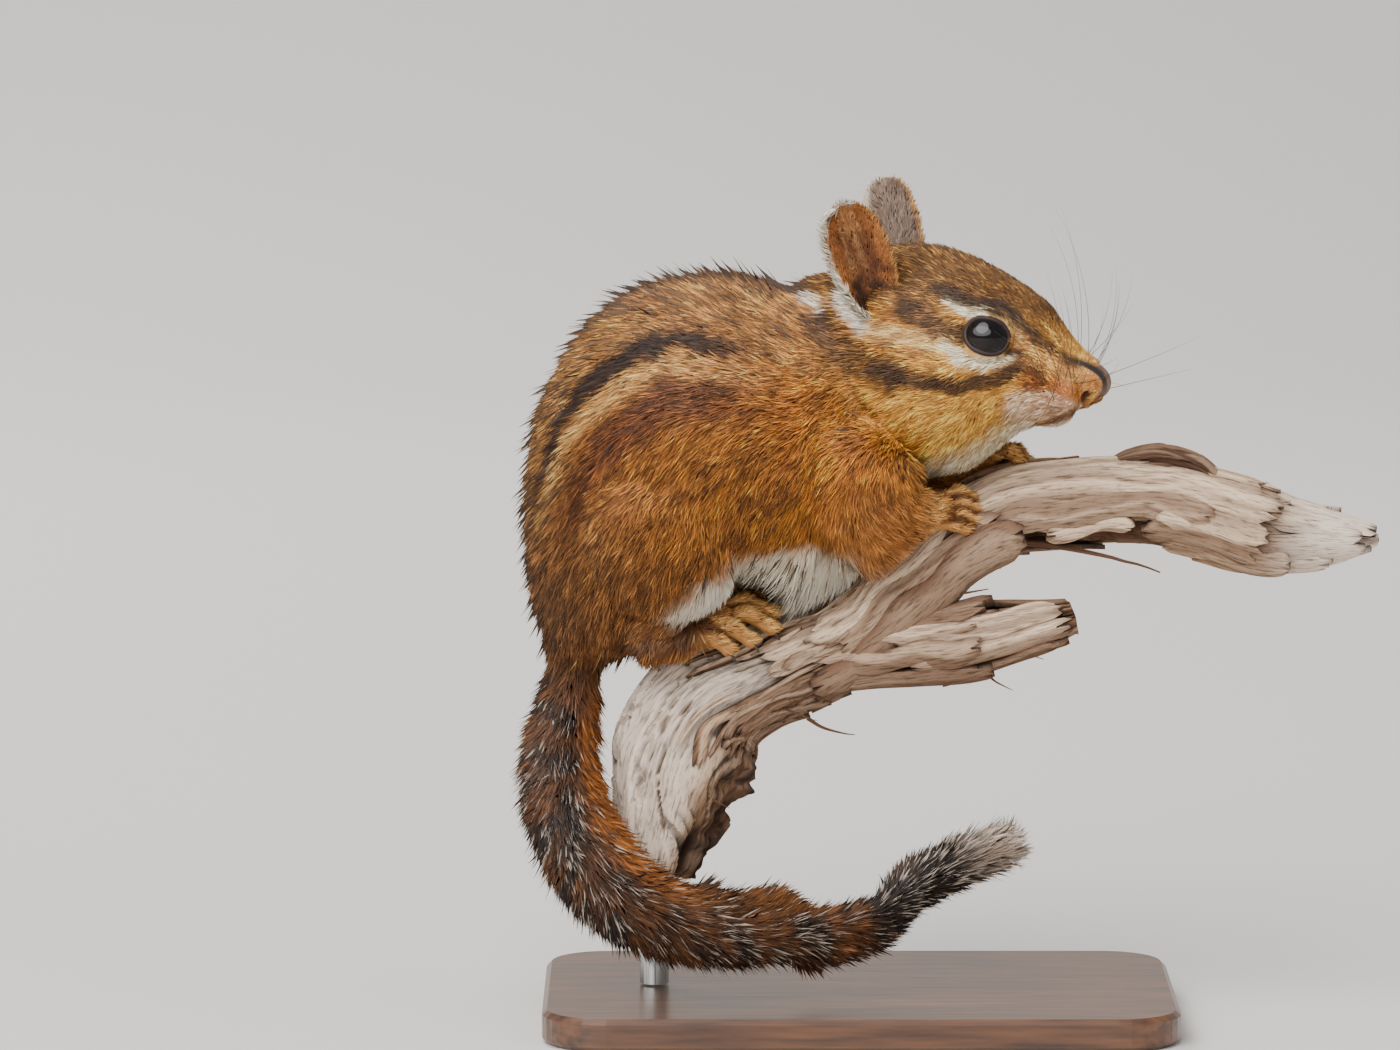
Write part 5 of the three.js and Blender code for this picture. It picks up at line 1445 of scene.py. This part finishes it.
# Torn strips on a body. A strip is a grid of lengths and angles on the body's surface, moved out by its
# thickness, less at its edges, and by its rise, which grows with the cube of the nearness to an end.
# Each line along it ends at its own length, which makes the ends ragged. A lower grid closes it.
def tornStrips(name, rows, strips, seed):
    body = limb(*[(*row, 0) for row in rows])
    dice = np.random.default_rng(seed)
    strips = np.asarray(strips, float)
    count, along, across = len(strips), 21, 8
    first, last, angle0, angle1, half, thick, rise0, rise1 = (strips[:, k, None, None] for k in range(8))
    s = np.linspace(0, 1, along)[None, :, None]
    c = np.linspace(-1, 1, across)[None, None, :]
    cut = dice.random((2, count, 1, across)) ** 1.6 * np.minimum(0.4, 3.4 / (last - first))
    share = cut[0] + s * (1 - cut[0] - cut[1])
    length = np.clip(first + (last - first) * share, 0.2, None)
    shares, lengths = lengthsOf(body)
    overrun = np.maximum(length - lengths[-1], 0)
    t = np.interp(length, lengths, shares)
    ring = framesAt(body, t.ravel())
    wide, tall = ring["size"][:, 0], ring["size"][:, 1]
    spine = np.stack([length[..., 0] / 6, np.arange(count)[:, None] * 9 + length[..., 0] * 0,
                      length[..., 0] * 0], -1)
    sway = (lumps(spine.reshape(-1, 3), 1, seed) - 0.5).reshape(count, along, 1) * 16
    taper = 0.5 + 0.5 * np.minimum(1, 3.2 * np.sqrt(np.maximum(s * (1 - s), 0)))
    radius = np.maximum(((wide + tall) / 2).reshape(t.shape), 1.6)
    angle = np.radians(angle0 + (angle1 - angle0) * share + sway) + c * half * taper / radius
    lines = c * half / 0.4 + np.arange(count)[:, None, None] * 7 + share * 0
    grooves = np.stack([length / 30, lines, share * 0], -1)
    groove = lumps(grooves.reshape(-1, 3), 1, seed + 1).reshape(t.shape)
    rise = rise0 * (1 - share)**3 + rise1 * share**3
    top = (thick * (1 - 0.3 * c * c) + (groove - 0.5) * 0.35 + rise).ravel()
    bottom = (-0.4 + 0.9 * rise + c * 0).ravel()
    turn = angle.ravel()
    outward = (np.cos(turn) / wide)[:, None] * ring["side"] + (np.sin(turn) / tall)[:, None] * ring["up"]
    surface = (ring["at"] + (wide * np.cos(turn))[:, None] * ring["side"]
               + (tall * np.sin(turn))[:, None] * ring["up"] + overrun.ravel()[:, None] * ring["ahead"])
    layers = [(surface + unit(outward) * lift[:, None]).reshape(count, -1, 3) for lift in (top, bottom)]
    points = np.concatenate(layers, axis=1).reshape(-1, 3)
    size = along * across
    upper = gridQuads(along, across, False)
    k, m = np.arange(along - 1) * across, np.arange(across - 1)
    right, end = k + across - 1, (along - 1) * across
    sides = [np.stack([k, k + across, k + across + size, k + size], -1),
             np.stack([right + across, right, right + size, right + across + size], -1),
             np.stack([m + 1, m, m + size, m + 1 + size], -1),
             np.stack([end + m, end + m + 1, end + m + 1 + size, end + m + size], -1)]
    quads = np.vstack([upper, upper[:, ::-1] + size, *sides])
    quads = (quads[None] + np.arange(count)[:, None, None] * 2 * size).reshape(-1, 4)
    tone = dice.random((count, 1, 1)) + 0 * t
    fine = smooth(0.34, 0.7, groove)
    colour = blendTo(np.broadcast_to(perch["grey"], (*t.shape, 3)), perch["cream"],
                     smooth(0.2, 0.9, tone) * 0.9)
    colour = blendTo(colour, perch["warm"], smooth(0.75, 1, dice.random((count, 1, 1)) + 0 * t) * 0.6)
    colour = blendTo(colour, perch["brown"], np.clip((1 - fine) * 0.65 + 0.45 * (np.abs(c) > 0.9), 0, 1))
    below = window(np.degrees(angle) % 360, 240, 34, 24) * (1 - smooth(60, 90, length))
    colour = blendTo(colour, perch["brown"], below * (0.35 + 0.4 * tone))
    colour = blendTo(colour, perch["bleachedAndHighlight"], smooth(118, 131, length) * 0.7)
    ends = np.maximum(1 - share / 0.06, 1 - (1 - share) / 0.06)
    colour = blendTo(colour, perch["brown"] * 0.7, np.clip(ends, 0, 1) * 0.8).reshape(count, -1, 3)
    # The lower grid, each strip's underside, is painted near-black: painted shade under the strip
    colour = np.concatenate([colour, np.broadcast_to(perch["dark"], colour.shape)], axis=1).reshape(-1, 3)
    place = np.stack([length / 20, angle / (2 * math.pi)], -1).reshape(count, -1, 2)
    place = np.concatenate([place, place], axis=1).reshape(-1, 2)
    return finishWood(name, points, quads, None, colour, place)


# Rows for strips at random places, between two lengths and all round
def scatterStrips(count, start, end, long, half, seed, angles=(0, 360)):
    dice = np.random.default_rng(seed)
    size = dice.uniform(*long, count)
    first = dice.uniform(start, end - size * 0.7, count)
    angle = dice.uniform(*angles, count)
    return np.column_stack([first, np.minimum(first + size, end), angle, angle + dice.normal(0, 5, count),
                            dice.uniform(*half, count), dice.uniform(0.3, 0.8, count),
                            dice.random(count)**2 * 0.9, dice.random(count)**2 * 1.3])


# Wood shader: the colours laid on the points, crossed by finer streaks along the grain
woodPaint = newMaterial("weatheredWood", {"Roughness": 0.82, "Specular IOR Level": 0.3})
grainMap = addNode(woodPaint, "UVMap", {}, uv_map="woodGrain").outputs["UV"]
alongGrain = addNode(woodPaint, "Mapping", {"Vector": grainMap, "Scale": (7, 130, 1)}).outputs["Vector"]
streaks = noiseAt(woodPaint, alongGrain, Scale=1.0, Detail=6, Roughness=0.6)
woodShade = rampOf(woodPaint, streaks, (0.34, (0.2, 0.155, 0.12)), (0.51, (1.05, 1.04, 1.02)))
woodTone = multiplied(woodPaint, 0.85, inkOf(woodPaint, "woodColour"), woodShade)
paintWith(woodPaint, {"Base Color": woodTone, "Normal": bumpOf(woodPaint, streaks, 0.7, 0.0003)})

hollows = [(90, 226, 6.5, 16, 3.8), (99, 226, 6, 13, 2.6), (84, 236, 5, 20, 2.0), (62, 206, 7, 10, 1.6),
           (52, 214, 9, 8, 1.4), (34, 206, 7, 9, 1.2), (40, 250, 6, 12, 1.6), (77, 128, 5, 7, 1.0)]
branch = woodPiece("branch", perch["branch"], 390, 170, 50,
                   ([0, 0.16, 0.28, 0.6, 0.8, 1], [0.1, 0.2, 0.7, 0.6, 0.8, 1]), 1, hollows)
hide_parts("perch_lower", "perch_middle", "perch_end")
prong = woodPiece("branch_prong", perch["prong"], 180, 110, 60, ([0, 1], [0.8, 1]), 0,
                  [(12, 150, 5, 14, 1.5), (24, 196, 7, 10, 1.2)], 0.9)
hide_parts("perch_prong")
loose = scatterStrips(90, 34, 122, (8, 26), (0.4, 1.5), 5)
overHollow = (loose[:, 0] < 102) & (loose[:, 1] > 82) & (loose[:, 2] > 196) & (loose[:, 2] < 266)
strips = np.vstack([perch["branchStrips"], loose[~overHollow],
                    scatterStrips(18, 112, 137, (7, 14), (0.5, 1.1), 6),
                    scatterStrips(26, 16, 48, (9, 20), (0.25, 0.6), 8),
                    scatterStrips(44, 20, 62, (14, 26), (0.16, 0.4), 9, (192, 262))])
tornStrips("branch_strips", perch["branch"], strips, 70)
strips = np.vstack([perch["prongStrips"], scatterStrips(24, 4, 41, (7, 16), (0.4, 1.0), 7)])
tornStrips("prong_strips", perch["prong"], strips, 75)
woodPiece("branch_chip", perch["chip"], 70, 70, 78, ([0, 1], [0.7, 0.7]), 0, (), 0.5)

# Twigs and torn fibres: tapered threads of six sides, from start to end with a sag in the middle
twigs = perch["twigs"]
start, end = (np.array([row[k] for row in twigs], float) for k in (0, 1))
sag, thick = (np.array([row[k] for row in twigs], float) for k in (2, 3))
s = np.linspace(0, 1, 13)[None, :, None]
line = start[:, None] + (end - start)[:, None] * s
line[..., 2] -= (sag[:, None, None] * 4 * s * (1 - s))[..., 0]
line = line + (lumps(line.reshape(-1, 3), 3, 91).reshape(len(twigs), -1, 1) - 0.5) * 0.4
points, quads, caps = threads(line, thick[:, None, None] * (1 - 0.8 * s), np.arange(0, 360, 60),
                              [0.0, 1, 0.2], ([3, 2, 1, 0], [5, 4, 3, 0], [72, 73, 74, 75],
                                              [72, 75, 76, 77]))
quads = np.vstack([quads, caps])
place = np.column_stack([np.repeat(np.linspace(0, 1, 13), 6)[None].repeat(len(twigs), 0).ravel() * 0.4,
                         np.tile(np.arange(6) * 0.01, 13 * len(twigs))])
finishWood("branch_twigs", points, quads, None, np.tile(perch["brown"] * 0.9, (len(points), 1)), place)
print("branch, its torn strips and twigs")


# Stand: dark varnished base and brushed steel rod keep their CAD meshes and get their finishes
def standFinish(name, dark, light, streak, inputs):
    material = newMaterial(name, inputs)
    place = addNode(material, "TexCoord", {}).outputs["Object"]
    along = addNode(material, "Mapping", {"Vector": place, "Scale": streak}).outputs["Vector"]
    lines = noiseAt(material, along, Scale=1.0, Detail=5)
    tone = rampOf(material, lines, (0.3, dark), (0.7, light))
    paintWith(material, {"Base Color": tone, "Normal": bumpOf(material, lines, 0.25, 0.0001)})
    return material


varnish = standFinish("darkVarnish", tint(52, 31, 19), tint(104, 66, 40), (60, 700, 700),
                      {"Roughness": 0.36, "Coat Weight": 0.35, "Coat Roughness": 0.2})
steel = standFinish("brushedSteel", tint(150, 150, 148), tint(206, 206, 204), (4000, 4000, 60),
                    {"Roughness": 0.34, "Metallic": 1})
for name, finish in (("stand_base", varnish), ("stand_rod", steel)):
    for slot in bpy.data.objects[name].material_slots:
        slot.material = finish
print("stand finished")
